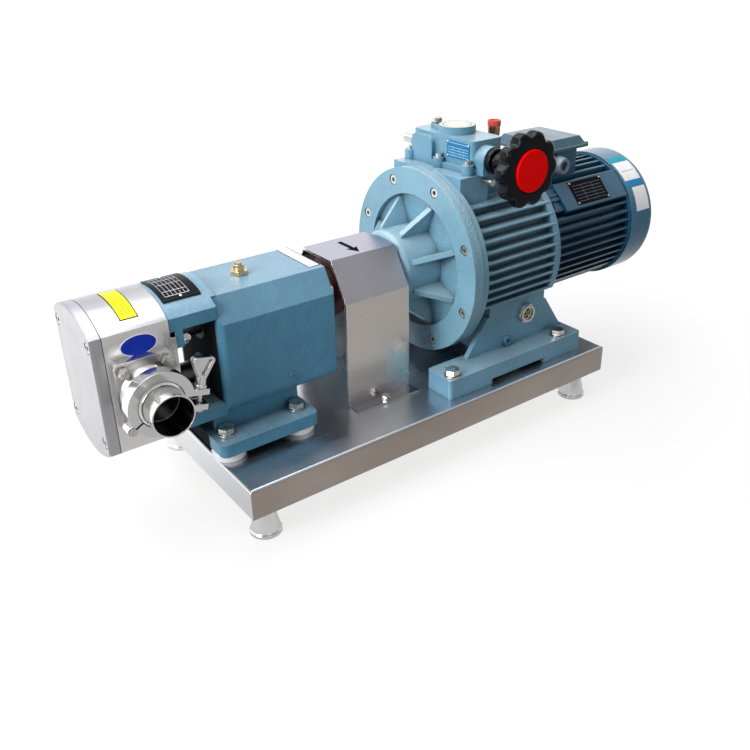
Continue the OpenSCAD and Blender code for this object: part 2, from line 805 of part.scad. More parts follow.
// Six bolts of the rear cover, in bosses along the side walls.
cover_bolt_places = [for (s = [-1, 1], z = [lower_z - 14, port_z, axis_z + 18])
  [s * (gear_w / 2 - cover_inset - 9), z]];

module cover_bolts_2d(d) {
  for (p = cover_bolt_places) translate(p) circle(d = d);
}

// Shafts, gears and bearings

seal_ring_od = 44;
seal_ring_w = 7;
gear_hub_x = gear_x + front_wall + 22;
gear_m = shaft_c / gear_teeth;      // gear module
shaft_step_d = journal_d + 4;
pump_end_x = nose_x - coupling_gap / 2 + 4;

// Plain stepped shaft from the rotor to the end of the rear bearing, with a splined nose.
module pump_shaft(z) {
  nose_x0 = rotor_x + recess_t;
  back_x = rotor_x + rotor_w - recess_t;
  along_x(nose_x0, z) linear_extrude(back_x - nose_x0 + eps) spline_2d();
  along_x(back_x, z) cylinder(d = journal_d, h = gear_x1 - rear_cover_t + bearing_w - back_x);
  along_x(gear_x + front_wall, z) cylinder(d = shaft_step_d, h = gear_hub_x - gear_x - front_wall);
  along_x(gear_hub_x + gear_face, z)
    cylinder(d = shaft_step_d, h = gear_x1 - rear_cover_t - gear_hub_x - gear_face);
}

module drive_shaft() {
  color(bright_steel) {
    pump_shaft(axis_z);
    along_x(gear_x1 - rear_cover_t, axis_z)
      cylinder(d = pump_end_d, h = pump_end_x - gear_x1 + rear_cover_t);
  }
}

module driven_shaft() { color(bright_steel) pump_shaft(lower_z); }

// Involute of the base circle: the point unrolled by t degrees.
function involute(base, t) = base * [cos(t) + t * PI / 180 * sin(t), sin(t) - t * PI / 180 * cos(t)];

pitch_r = shaft_c / 2;
base_r = pitch_r * cos(20);
outer_r = pitch_r + gear_m;
root_r = pitch_r - 1.25 * gear_m;
pitch_t = sqrt(pow(pitch_r / base_r, 2) - 1) * 180 / PI;
outer_t = sqrt(pow(outer_r / base_r, 2) - 1) * 180 / PI;
// Half the angle of a tooth at the base circle: a quarter pitch, less the backlash, plus the roll-off.
tooth_half = 90 / gear_teeth - 0.3 + atan2(involute(base_r, pitch_t).y, involute(base_r, pitch_t).x);
inv_steps = 4;

module tooth_2d() {
  low = [for (i = [0 : inv_steps]) turned(involute(base_r, outer_t * i / inv_steps), -tooth_half)];
  root = turned([root_r - 1, 0], -tooth_half);
  polygon(concat([root], low, [for (i = [inv_steps : -1 : 0]) [low[i].x, -low[i].y]],
                 [[root.x, -root.y]]));
}

module timing_gear(z, phase) {
  along_x(gear_hub_x, z) difference() {
    linear_extrude(gear_face) rotate(phase) {
      circle(root_r);
      for (i = [0 : gear_teeth - 1]) rotate(i * 360 / gear_teeth) tooth_2d();
    }
    translate([0, 0, -1]) cylinder(d = journal_d + 2 * fit, h = gear_face + 2);
  }
}

module drive_gear() { color(steel) timing_gear(axis_z, 90); }
module driven_gear() { color(steel) timing_gear(lower_z, 90 + 180 / gear_teeth); }

// Ball bearing drawn as its two rings and the shielded row between them.
module bearing(d_out, d_in, w) {
  difference() {
    ring(d_out, d_in + 2 * fit, w);
    for (z = [-eps, w - 1]) translate([0, 0, z])
      ring(d_out - (d_out - d_in) * 0.25, d_in + (d_out - d_in) * 0.25, 1 + eps);
  }
}

module ball_bearings() {
  color(bright_steel) {
    for (x = [gear_x + front_wall - bearing_w, gear_x1 - rear_cover_t], z = [axis_z, lower_z])
      along_x(x, z) bearing(bearing_od, journal_d, bearing_w);
    for (x = [nose_x + 12, nose_x + 12 + nose_bearing_w + 8])
      along_x(x, axis_z) bearing(nose_bearing_od, out_journal_d, nose_bearing_w);
    for (x = [housing_x1 - motor_bearing_w, frame_x1 - motor_bearing_w])
      along_x(x, axis_z) bearing(motor_bearing_od, motor_shaft_d, motor_bearing_w);
  }
}

module oil_seals() {
  color(black) {
    for (z = [axis_z, lower_z]) along_x(gear_x, z)
      ring(seal_ring_od - 2 * fit, journal_d + 2 * fit, seal_ring_w);
    along_x(gear_x1 - rear_cover_t + bearing_w, axis_z)
      ring(seal_ring_od - 2 * fit, pump_end_d + 2 * fit, rear_cover_t - bearing_w);
    along_x(nose_x + 3, axis_z) ring(nose_seal_od - 2 * fit, drive_end_d + 2 * fit, 8);
  }
}

module filler_plug() {
  z = axis_z + roof_h;
  color(brass) translate([filler_x, 0, z]) {
    cylinder(d = 21 / cos(30), h = 6, $fn = 6);
    cylinder(d = 14, h = 9);
    translate([0, 0, 8]) cylinder(d = 15, h = 5, $fn = 6);
    translate([0, 0, 12]) cylinder(d = 10, h = 4);
    translate([0, 0, -gear_wall]) cylinder(d = 13, h = gear_wall + eps);
  }
}

// Socket plugs at the bottom of the gear case and of the variator housing.
module drain_plugs() {
  color(motor_blue) {
    translate([drain_x, -gear_w / 2, drain_z]) rotate([90, 0, 0]) socket_screw(10, 12, 2, 8);
    translate([plug_x, -side_y, plug_z]) rotate([90, 0, 0]) socket_screw(10, 15, 6, 8);
  }
}

module mounting_pads() {
  color(white_plastic) translate([bolt_pad_x, 0, tray_z]) four_corners(gear_bolt_dx, gear_bolt_dy)
    rotate_extrude()
      polygon([[m12_hole / 2, 0], [22, 0], [22, pad_h - 4], [19, pad_h], [m12_hole / 2, pad_h]]);
}

// Bolt from the plane z = top down to a nut on the plane z = under, with its washer.
module foot_bolt(top, under) {
  translate([0, 0, top]) cylinder(d = 25, h = 2.5);
  translate([0, 0, top + 2.5]) hex_bolt(12, 19, 8.5, top + 2.5 - under + 14);
  translate([0, 0, under - 10]) cylinder(d = 19 / cos(30), h = 10, $fn = 6);
}

module foot_bolts() {
  under = tray_z - tray_t - channel_h;        // where the nuts bear on the channels
  color(bright_steel) {
    translate([bolt_pad_x, 0]) four_corners(gear_bolt_dx, gear_bolt_dy)
      foot_bolt(gear_foot_z + gear_foot_t, under);
    translate([sole_bolt_x, 0]) four_corners(sole_bolt_dx, sole_bolt_dy)
      foot_bolt(tray_z + sole_t, under);
  }
}

// Coupling and guard

half_t = 22;
hub_t = 14;
spider_t = 16;
pump_half_x = gear_x1 + 17;
spider_x = pump_half_x + hub_t + half_t;
jaw_n = 3;
jaw_angle = 48;
pad_angle = 60 - jaw_angle - 1;

// Ring sector between two radii, used for the jaws and for the spider's pads.
module jaw_2d(angle) {
  intersection() {
    difference() {
      circle(d = coupling_d - 1);
      circle(d = coupling_d * 0.42);
    }
    sector_2d(-angle / 2, angle / 2);
  }
}

// One coupling half: hub, flange and three jaws that reach into the spider.
module coupling_half(bore_d) {
  difference() {
    union() {
      cylinder(d = coupling_d * 0.58, h = hub_t + eps);
      translate([0, 0, hub_t]) cylinder(d = coupling_d, h = half_t);
      for (i = [0 : jaw_n - 1]) rotate(i * 360 / jaw_n)
        translate([0, 0, hub_t + half_t - eps]) linear_extrude(spider_t - 1) jaw_2d(jaw_angle);
    }
    translate([0, 0, -1]) cylinder(d = bore_d + 2 * fit, h = hub_t + half_t + 2);
    translate([0, 0, hub_t / 2]) rotate([90, 0, 0]) cylinder(d = 6, h = coupling_d);
  }
}

module pump_coupling_half() {
  color(coupling_red) along_x(pump_half_x, axis_z) coupling_half(pump_end_d);
}

module drive_coupling_half() {
  color(coupling_red) along_x(spider_x + spider_t + half_t + hub_t, axis_z)
    mirror([0, 0, 1]) rotate(60) coupling_half(drive_end_d);
}

module coupling_spider() {
  pads = 2 * jaw_n;
  color(black) along_x(spider_x, axis_z) difference() {
    union() {
      cylinder(d = coupling_d * 0.42 - 1, h = spider_t);
      for (i = [0 : pads - 1]) rotate((i + 0.5) * 360 / pads)
        linear_extrude(spider_t) intersection() {
          circle(d = coupling_d - 1);
          sector_2d(-pad_angle / 2, pad_angle / 2);
        }
    }
    translate([0, 0, -1]) cylinder(d = pump_end_d + 1, h = spider_t + 2);
  }
}

guard_roof_w = 70;
guard_z = axis_h + 49;
shoulder_z = axis_h - 4;

// Outer line of the guard's section above the tray, from one flange to the other.
module guard_outline(inset) {
  w = guard_w / 2 - inset;
  roof = guard_roof_w / 2 - 0.55 * inset;
  polygon([[-w, -1], [-w, shoulder_z], [-roof, guard_z - inset], [roof, guard_z - inset],
           [w, shoulder_z], [w, -1]]);
}

module coupling_guard() {
  color(steel) difference() {
    union() {
      along_x(guard_x, tray_z) linear_extrude(guard_l) difference() {
        guard_outline(0);
        guard_outline(guard_t);
        translate([-guard_w, -2]) square([2 * guard_w, 2]);
      }
      for (s = [0, 1]) mirror([0, s, 0]) translate([guard_x, guard_w / 2 - guard_t, tray_z])
        cube([guard_l, guard_flange, guard_t]);
      // narrow inward hem along both open edges
      for (x = [guard_x, guard_x + guard_l - guard_t]) along_x(x, tray_z)
        linear_extrude(guard_t) difference() {
          guard_outline(0);
          guard_outline(guard_t + 1.5);
          translate([-guard_w, -2]) square([2 * guard_w, 2]);
        }
    }
    for (s = [-1, 1]) translate([guard_x + guard_l / 2, s * guard_screw_y, tray_z - 1])
      cylinder(d = m6_hole, h = guard_t + 2);
  }
}

module guard_screws() {
  color(bright_steel) for (s = [-1, 1])
    translate([guard_x + guard_l / 2, s * guard_screw_y, tray_z + guard_t]) {
      ring(14, 6, 1.2);
      translate([0, 0, 1.2]) hex_bolt(6, 10, 4.5, guard_t + tray_t + 8);
    }
}

// Variator: output cover

rib_n = 8;
rib_t = 8;
dish_r = 100;
nose_bearing_od = 62;
nose_bearing_w = 16;
out_journal_d = 30;
nose_seal_od = 48;
rim_screw_r = cover_d / 2 - 16;
rim_screw_turn = 22.5;

// Half section of the cover: rim, dished web, nose with a bearing bore, spigot behind.
module cover_section() {
  nose_r = nose_d / 2;
  web_t = 10;
  r_in = nose_bearing_od / 2 + fit;
  difference() {
    union() {
      translate([dish_r, 0]) square([cover_d / 2 - dish_r, rim_t]);
      polygon([[nose_r - 12, 8], [dish_r + eps, rim_t - 8], [dish_r + eps, rim_t],
               [r_in, rim_t], [r_in, 8]]);
      translate([r_in, -nose_l + 10]) square([nose_r - r_in, nose_l]);
      translate([drive_end_d / 2 + 6, -nose_l]) square([nose_r - 10 - drive_end_d / 2 - 6, 12]);
      translate([nose_r - 10, -nose_l + 10]) circle(10);
    }
    translate([0, -nose_l + 12]) square([r_in, nose_l + rim_t]);
    translate([0, -nose_l - 1]) square([nose_seal_od / 2, 20]);
    translate([r_in - 1, -6]) square([nose_r - 12 - r_in, rim_t + 8]);
  }
  translate([barrel_bore / 2 - web_t - 0.5, rim_t - eps]) square([web_t, 6]);
}

// Rib that stands on the dished web and leans against the nose.
module cover_rib() {
  nose_r = nose_d / 2;
  rotate([90, 0, 0]) translate([0, 0, -rib_t / 2]) linear_extrude(rib_t)
    polygon([[nose_r - 2, 10], [nose_r - 2, -nose_l + 14], [nose_r + 4, -nose_l + 16],
             [dish_r - 4, 3], [dish_r - 2, 8], [dish_r - 2, 12]]);
}

module output_cover() {
  color(pale_blue) along_x(rim_x, axis_z) difference() {
    union() {
      rotate_extrude() cover_section();
      for (i = [0 : rib_n - 1]) rotate(rim_screw_turn + i * 360 / rib_n) cover_rib();
    }
    for (i = [0 : rib_n - 1]) rotate(rim_screw_turn + i * 360 / rib_n) {
      translate([rim_screw_r, 0, -1]) cylinder(d = m8_hole, h = rim_t + 2);
      translate([rim_screw_r, 0, -1]) cylinder(d = 15, h = 10);
    }
  }
}

// All the socket screws of the housings: output cover, rear gear cover and control box.
module housing_screws() {
  color(steel) {
    along_x(rim_x + 9, axis_z) for (i = [0 : rib_n - 1]) rotate(rim_screw_turn + i * 360 / rib_n)
      translate([rim_screw_r, 0, 0]) mirror([0, 0, 1])
        socket_screw(8, 13, 8, rim_t - 9 + flange_t - 1);
    along_x(gear_x1) for (p = cover_bolt_places) translate(p)
      socket_screw(m6, 10, 5, rear_cover_t + 15);
    for (p = ear_places) translate([p.x, p.y, deck_z + ear_t]) socket_screw(m6, 9.6, 5, ear_t + 12);
    // limit screw in the side of the deck, and the turned cap beside the dial
    translate([deck_x1 - 10, -deck_w / 2, deck_z - 8]) outward() {
      cylinder(d = 7, h = 14);
      translate([0, 0, 12]) cylinder(d = 9, h = 8);
    }
    translate([box_x, 46, deck_z + box_h + 6]) {
      cylinder(d = 12, h = 3);
      translate([0, 0, 2]) cylinder(d = 17, h = 6);
    }
  }
}

// Variator: housing

barrel_bore = 200;
rear_wall = 12;
collar_d = 38;                      // bearing boss of the handwheel shaft
side_y = 104;                       // flat side panel of the sump
sump_x0 = barrel_x + 36;
sump_x1 = housing_x1 - 8;
sump_z = tray_z + 22;
deck_z = axis_z + wheel_h - collar_d / 2 - 0.5;     // top of the control deck
deck_w = 150;
plug_x = rim_x + 98;
plug_z = tray_z + sole_t + 9;
deck_x1 = barrel_x + 50;            // rear of the wide wall of the deck
glass_x = rim_x + 133;
glass_z = tray_z + 76;
fin_n = 11;
fin_top = axis_z + 92;

// Half the length of a chord at height h of a circle with radius r.
function half_chord(r, h) = sqrt(pow(r, 2) - pow(h, 2));

// Barrel with fins on both sides, cut in the plane across the shafts.
module finned_barrel_2d() {
  gap = fin_pitch - fin_t;
  translate([0, axis_z]) circle(d = barrel_d);
  for (i = [0 : fin_n - 1]) translate([0, fin_top - i * fin_pitch]) {
    tip = half_chord(fin_d / 2, fin_top - i * fin_pitch - axis_z) - fin_t / 2;
    square([2 * tip, fin_t], center = true);
    for (s = [-1, 1]) translate([s * tip, 0]) circle(d = fin_t);
  }
  // concave valleys between the fins
  for (i = [0 : fin_n - 2], s = [0, 1]) mirror([s, 0]) {
    z = fin_top - (i + 0.5) * fin_pitch;
    root = half_chord(barrel_d / 2, z - axis_z);
    translate([root, z]) difference() {
      translate([-9, -gap / 2 - 0.2]) square([9 + gap / 2, gap + 0.4]);
      translate([gap / 2, 0]) circle(d = gap);
    }
  }
}

// Band that the fins run into at the rear.
module fin_band_2d() {
  low = fin_top - (fin_n - 1) * fin_pitch - fin_t / 2;
  intersection() {
    translate([0, axis_z]) circle(d = fin_d - 1);
    translate([-fin_d / 2, low]) square([fin_d, fin_top + fin_t / 2 - low]);
  }
}

module variator_housing() {
  color(pale_blue) difference() {
    union() {
      along_x(flange_x, axis_z) cylinder(d = cover_d - 1, h = flange_t);
      along_x(barrel_x, axis_z) cylinder(d1 = cover_d - 12, d2 = barrel_d, h = 9);
      along_x(barrel_x) linear_extrude(housing_l) translate([0, axis_z]) circle(d = barrel_d);
      along_x(barrel_x + 5) linear_extrude(housing_l - 12) finned_barrel_2d();
      along_x(housing_x1 - 14) linear_extrude(11) fin_band_2d();
      // sump with flat sides
      translate([sump_x0, -side_y, sump_z]) cube([sump_x1 - sump_x0, 2 * side_y, 84]);
      // control deck: a wide wall behind the flange and a narrower bed behind it
      translate([barrel_x - 2, -deck_w / 2, axis_z + 60])
        cube([deck_x1 - barrel_x + 2, deck_w, deck_z - axis_z - 60]);
      translate([barrel_x, -56, axis_z + 60]) cube([housing_l - 22, 112, deck_z - axis_z - 60]);
      variator_feet();
    }
    along_x(flange_x - 1, axis_z) cylinder(d = barrel_bore, h = flange_t + housing_l - rear_wall + 1);
    along_x(housing_x1 - rear_wall - 1, axis_z)
      cylinder(d = motor_bearing_od + 2 * fit, h = rear_wall + 2);
    // oil sump inside, under the discs
    translate([sump_x0 + 10, -side_y + 10, sump_z + 10])
      cube([sump_x1 - sump_x0 - 20, 2 * side_y - 20, 84]);
    translate([sole_bolt_x, 0, tray_z - 1]) linear_extrude(sole_t + 2)
      four_corners(sole_bolt_dx, sole_bolt_dy) circle(d = m12_hole);
    along_x(flange_x - 1, axis_z) for (i = [0 : rib_n - 1]) rotate(rim_screw_turn + i * 360 / rib_n)
      translate([rim_screw_r, 0, 0]) cylinder(d = m8 + 2 * fit, h = flange_t + 2);
    translate([plug_x, -side_y - 1, plug_z]) rotate([-90, 0, 0]) cylinder(d = 10 + 2 * fit, h = 12);
    translate([glass_x, -side_y - 1, glass_z]) rotate([-90, 0, 0]) cylinder(d = 18 + 2 * fit, h = 12);
    // slot under the speed control, where its screw reaches the cam ring
    translate([wheel_axis_x - 12, -30, axis_z + 90]) cube([24, 60, 60]);
    translate([breather_x, 0, axis_z + 90]) cylinder(d = 12 + 2 * fit, h = 60);
    for (p = ear_places) translate([p.x, p.y, deck_z - 13]) cylinder(d = m6 + 2 * fit, h = 14);
  }
}

module variator_feet() {
  foot_in = 52;                   // width of one foot
  relief_l = 108;
  relief_h = 8;
  for (s = [0, 1]) mirror([0, s, 0]) {
    difference() {
      translate([sole_x, -sole_w / 2 + foot_in / 2, tray_z]) linear_extrude(sole_t)
        round_rect(sole_l, foot_in, 6);
      translate([sole_x - relief_l / 2, -sole_w / 2 - 1, tray_z - 1])
        cube([relief_l, foot_in + 2, relief_h + 1]);
    }
    // sloping gussets from the foot up to the sump
    for (e = [0, 1]) translate([e == 0 ? sump_x0 : sump_x1, -side_y + 8, tray_z + sole_t - 2])
      mirror([1 - e, 0, 0]) rotate([90, 0, 0]) linear_extrude(8)
        polygon([[-10, 0], [44, 0], [40, 6], [4, 58], [-10, 58]]);
  }
  translate([sump_x0, -side_y, tray_z + sole_t - 8]) cube([sump_x1 - sump_x0, 2 * side_y, 20]);
}

// Variator: planetary disc drive

planet_n = 4;
planet_r = 27;
planet_orbit = 57;
disc_x = barrel_x + 70;
carrier_x = barrel_x + 20;
motor_shaft_d = 28;
motor_bearing_od = 62;
motor_bearing_w = 16;

module output_shaft() {
  shoulder_x = nose_x + 12 + 2 * nose_bearing_w + 8;
  color(bright_steel) {
    along_x(pump_end_x + 6, axis_z) cylinder(d = drive_end_d, h = nose_x + 12 - pump_end_x - 6);
    along_x(nose_x + 12 - eps, axis_z) cylinder(d = out_journal_d, h = shoulder_x - nose_x - 8);
    along_x(shoulder_x, axis_z) cylinder(d = 42, h = carrier_x - shoulder_x + 1);
    along_x(carrier_x, axis_z) difference() {
      cylinder(r = planet_orbit + 14, h = 12);
      for (i = [0 : planet_n - 1]) rotate(45 + i * 360 / planet_n)
        translate([planet_orbit - 16, 0, -1]) cylinder(d = 16, h = 14);
    }
    for (i = [0 : planet_n - 1]) along_x(carrier_x + 11, axis_z)
      rotate(i * 360 / planet_n) translate([planet_orbit, 0, 0])
        cylinder(d = 14, h = disc_x - carrier_x + 6);
  }
}

// Thin cone discs on the carrier's pins.
module planet_discs() {
  color(steel) along_x(disc_x, axis_z) for (i = [0 : planet_n - 1]) rotate(i * 360 / planet_n)
    translate([planet_orbit, 0, 0]) difference() {
      union() {
        for (s = [0, 1]) mirror([0, 0, s]) translate([0, 0, -eps])
          cylinder(r1 = planet_r, r2 = planet_r - 2, h = planet_half + eps);
        translate([0, 0, -12]) cylinder(d = 24, h = 24);
      }
      translate([0, 0, -13]) cylinder(d = 14 + 2 * fit, h = 26);
    }
}

planet_half = 4;                    // half the thickness of a planet disc

module sun_discs() {
  sun_r = planet_orbit - planet_r + 7;
  color(bright_steel) along_x(disc_x, axis_z) for (s = [0, 1]) mirror([0, 0, s])
    translate([0, 0, planet_half + clear]) difference() {
      union() {
        cylinder(r1 = sun_r - 3, r2 = sun_r, h = 4);
        translate([0, 0, 4]) cylinder(r = sun_r - 8, h = 10);
      }
      translate([0, 0, -1]) cylinder(d = motor_shaft_d + 2 * fit, h = 20);
    }
}

// Fixed ring and adjustable cam ring that press on the rims of the planet discs.
module pressure_rings() {
  color(steel) along_x(disc_x, axis_z) for (s = [0, 1]) mirror([0, 0, s])
    translate([0, 0, planet_half + clear]) difference() {
      cylinder(d = barrel_bore - 1, h = 18);
      translate([0, 0, -1]) cylinder(r = planet_orbit + planet_r - 6, h = 20);
      translate([0, 0, 7]) cylinder(r = planet_orbit + planet_r + 6, h = 12);
    }
}

// Speed control on top of the variator

wheel_axis_x = rim_x + wheel_x + 17;
wheel_z = axis_z + wheel_h;
box_l = 56;
box_w = 132;
box_h = 45;
box_x = wheel_axis_x + 6;           // middle of the control box
ear_t = 14;
ear_places = concat([for (y = [-62, 0, 66]) [wheel_axis_x - 28, y]],
          [for (y = [-46, 46]) [box_x + box_l / 2 + 6, y]]);
collar_y = 84;
screw_d = 12;

module control_box() {
  z0 = deck_z;
  top = deck_z + box_h;
  color(pale_blue) difference() {
    union() {
      translate([box_x, 0, z0]) linear_extrude(box_h) round_rect(box_l, box_w, 7);
      // base plate with screw ears
      translate([box_x - 4, 3, z0]) linear_extrude(8) round_rect(box_l + 6, box_w + 12, 6);
      for (p = ear_places) translate([p.x, p.y, z0]) cylinder(d = 17, h = ear_t);
      // round-cornered pad on the front face
      translate([box_x - box_l / 2 + 1, 38, z0]) rotate([90, 0, -90]) linear_extrude(8) {
        translate([0, 15]) square([46, 30], center = true);
        translate([0, 20]) square([26, 40], center = true);
        for (s = [-1, 1]) translate([s * 13, 30]) circle(10);
      }
      // dial boss, and the small boss of the oil cap beside it
      translate([box_x, 0, top - eps]) cylinder(d = dial_d + 4, h = 11);
      translate([box_x, 0, top - eps]) linear_extrude(6) hull() {
        circle(d = dial_d - 6, $fn = 32);
        translate([0, 44]) circle(d = 20, $fn = 32);
      }
      // bearing bosses of the handwheel shaft
      translate([wheel_axis_x, 0, wheel_z]) outward(box_w / 2 - 2)
        linear_extrude(collar_y - box_w / 2 + 2) {
          circle(d = collar_d);
          translate([-collar_d / 2, z0 - wheel_z]) square([collar_d, wheel_z - z0]);
        }
      translate([wheel_axis_x, 0, wheel_z]) rotate([-90, 0, 0])
        translate([0, 0, box_w / 2 - 2]) cylinder(d1 = 32, d2 = 22, h = 22);
    }
    translate([box_x - box_l / 2 + 7, -box_w / 2 + 7, z0 - 1])
      cube([box_l - 14, box_w - 14, box_h - 6]);
    translate([wheel_axis_x, 0, wheel_z]) rotate([90, 0, 0])
      cylinder(d = screw_d + 2 * fit, h = 240, center = true);
    for (p = ear_places) translate([p.x, p.y, z0 - 1]) cylinder(d = m6_hole, h = ear_t + 2);
    translate([box_x, 0, top - 8]) cylinder(d = 8 + 2 * clear, h = 30);
    translate([box_x, 0, top + 3]) cylinder(d = dial_d, h = 10);
  }
}

module adjusting_screw() {
  color(bright_steel) translate([wheel_axis_x, 0, wheel_z]) rotate([90, 0, 0]) {
    translate([0, 0, -box_w / 2 - 44]) cylinder(d = screw_d + 2, h = 21);
    translate([0, 0, -box_w / 2 - 24]) cylinder(d = screw_d, h = box_w / 2 + 24 + wheel_y - 3);
    translate([0, 0, -32]) cylinder(d = screw_d + 6, h = 3);
    translate([0, 0, 29]) cylinder(d = screw_d + 6, h = 3);
    // worm that drives the dial
    for (i = [0 : 5]) translate([0, 0, -15 + i * 5]) cylinder(d1 = screw_d, d2 = screw_d + 4, h = 2.5);
  }
}

lobe_cut_r = 8;

// Handwheel: a rounded rim with finger notches, a dished web and a hub that ends in a ring.
module handwheel() {
  r = wheel_d / 2;
  color(black) translate([wheel_axis_x, 0, wheel_z]) outward(wheel_y) difference() {
    rotate_extrude() difference() {
      union() {
        translate([r - 9, 0]) circle(9);
        translate([0, -3]) square([r - 9, 12]);
        translate([0, -wheel_y + collar_y + 9 + clear]) square([11, wheel_y - collar_y - 9]);
        translate([0, -wheel_y + collar_y + clear]) square([collar_d / 2 - 1, 9]);
      }
      translate([30, 9]) circle(1.2);
    }
    for (i = [0 : wheel_lobes - 1]) rotate((i + 0.5) * 360 / wheel_lobes)
      translate([r + 3.5, 0, -20]) cylinder(r = lobe_cut_r, h = 40);
    translate([0, 0, -wheel_y]) cylinder(d = screw_d + 2 * fit, h = wheel_y - 3);
    translate([0, 0, 6]) cylinder(d = 58, h = 10);
  }
}

module handwheel_cap() {
  color([0.85, 0.02, 0.03]) translate([wheel_axis_x, 0, wheel_z]) outward(wheel_y + 6)
    rotate_extrude() difference() {
      square([28.7, 5.5]);
      translate([28.7, 5.5]) rotate(45) square(1.6, center = true);
    }
}

module dial_glass() {
  color([0.88, 0.86, 0.62]) translate([box_x, 0, deck_z + box_h + 8]) difference() {
    cylinder(d = dial_d - 0.4, h = 3);
    translate([0, 0, -1]) cylinder(d = 5, h = 2);
  }
}

module dial_pointer() {
  color(black) translate([box_x, 0, deck_z + box_h]) {
    translate([0, 0, -9]) cylinder(d = 8, h = 13);
    translate([0, 0, 3.4]) linear_extrude(1.4) {
      circle(5);
      polygon([[-2.5, 0], [0, dial_d / 2 - 5], [2.5, 0]]);
    }
  }
}

breather_x = housing_x1 - 29;

module breather() {
  color(brass) translate([breather_x, 0, deck_z]) rotate_extrude() polygon([[0, -16], [6, -16],
    [6, 0], [9, 0], [9, 6], [5, 8], [5, 22], [6, 24], [9, 32], [9.5, 44], [0, 44]]);
}

module breather_cap() {
  color([0.80, 0.20, 0.16]) translate([breather_x, 0, deck_z + 44]) difference() {
    cylinder(d = 20, h = 8);
    translate([0, 0, 6]) cylinder(d = 14, h = 4);
  }
}

module sight_glass() {
  color(steel) translate([glass_x, -side_y, glass_z]) rotate([90, 0, 0]) difference() {
    union() {
      cylinder(d = 28 / cos(30), h = 8, $fn = 6);
      cylinder(d = 27, h = 11);
      translate([0, 0, -10]) cylinder(d = 18, h = 11);
    }
    translate([0, 0, 6]) cylinder(d = 20, h = 8);
  }
}

// Motor

frame_core_r = motor_d / 2 - 14;
side_fins = 11;
top_fins = 5;
motor_fin_pitch = 13.6;
motor_fin_t = 3.6;
box_top_z = axis_z + 134;
saddle_z = axis_z + motor_d / 2 + 1;
box_mid_x = frame_x + 64;
plate_x = frame_x + 20;
plate_l = 154;

// Fins lie flat on the sides and stand upright at the top and bottom, as on a cast motor frame.
module frame_fins_2d() {
  intersection() {
    circle(d = motor_d);
    union() {
      for (i = [0 : side_fins - 1])
        translate([0, (i - (side_fins - 1) / 2) * motor_fin_pitch])
          square([motor_d, motor_fin_t], center = true);
      intersection() {
        square([2 * frame_core_r * 0.80, motor_d], center = true);
        for (i = [0 : 2 * top_fins]) translate([(i - top_fins) * motor_fin_pitch, 0])
          square([motor_fin_t, motor_d], center = true);
      }
    }
  }
}

module motor_frame() {
  inner_r = frame_core_r - 8;
  color(motor_blue) difference() {
    union() {
      along_x(housing_x1, axis_z) cylinder(d = motor_d + 6, h = motor_flange_t);
      along_x(frame_x - eps, axis_z) linear_extrude(motor_l) circle(frame_core_r);
      along_x(frame_x + 4, axis_z) linear_extrude(motor_l - 10) frame_fins_2d();
      // flat boss for the plate on the outlet side
      along_x(plate_x, axis_z) linear_extrude(plate_l) rotate(180 - 43)
        translate([frame_core_r + 2, 0]) square([18, 40], center = true);
      // rear end shield, which carries the cowl
      along_x(frame_x1 - 10, axis_z) cylinder(r = cowl_d / 2 - cowl_t - 0.2, h = 10);
      // saddle under the terminal box
      translate([box_mid_x - 40, -40, axis_z + frame_core_r - 12])
        cube([80, 80, saddle_z - axis_z - frame_core_r + 12]);
    }
    along_x(frame_x + 8, axis_z) cylinder(r = inner_r, h = motor_l - 20);
    along_x(housing_x1 - 1, axis_z) cylinder(d = motor_bearing_od - 10, h = 20);
    along_x(frame_x1 - motor_bearing_w, axis_z)
      cylinder(d = motor_bearing_od + 2 * fit, h = motor_bearing_w + 1);
    along_x(frame_x1 - 20, axis_z) cylinder(d = motor_shaft_d + 8, h = 30);
    translate([box_mid_x, 0, axis_z + inner_r - 6]) cylinder(d = 40, h = 60);
  }
}

module stator_core() {
  color(steel) along_x(frame_x + 35, axis_z) {
    ring(2 * (frame_core_r - 8) - 2 * fit, rotor_core_d + 1, motor_l - 70);
    for (x = [-18, motor_l - 70]) translate([0, 0, x])
      ring(2 * (frame_core_r - 16), rotor_core_d + 16, 18);
  }
}

rotor_core_d = 92;

module motor_rotor() {
  core_l = motor_l - 70;
  sun_x = disc_x - 26;
  color(bright_steel) {
    along_x(frame_x + 35, axis_z) cylinder(d = rotor_core_d, h = core_l);
    along_x(frame_x + 23, axis_z) cylinder(d = 44, h = core_l + 24);
    along_x(sun_x, axis_z) cylinder(d = motor_shaft_d, h = frame_x1 + 30 - sun_x);
  }
}

module motor_fan() {
  blades = 7;
  color(black) along_x(frame_x1 + 8, axis_z) difference() {
    union() {
      cylinder(d = 44, h = 24);
      cylinder(d = 150, h = 3);
      for (i = [0 : blades - 1]) rotate(i * 360 / blades) translate([20, -1.5, 1]) cube([54, 3, 22]);
    }
    translate([0, 0, -1]) cylinder(d = motor_shaft_d + 2 * fit, h = 40);
  }
}

cowl_t = 2;

// Half section of the sheet cowl: open in front, rounded at the rear rim.
module cowl_section(inset) {
  r = cowl_d / 2 - inset;
  round_r = 16 - inset;
  square([r - round_r, cowl_l - inset]);
  square([r, cowl_l - inset - round_r]);
  translate([r - round_r, cowl_l - inset - round_r]) circle(round_r);
}

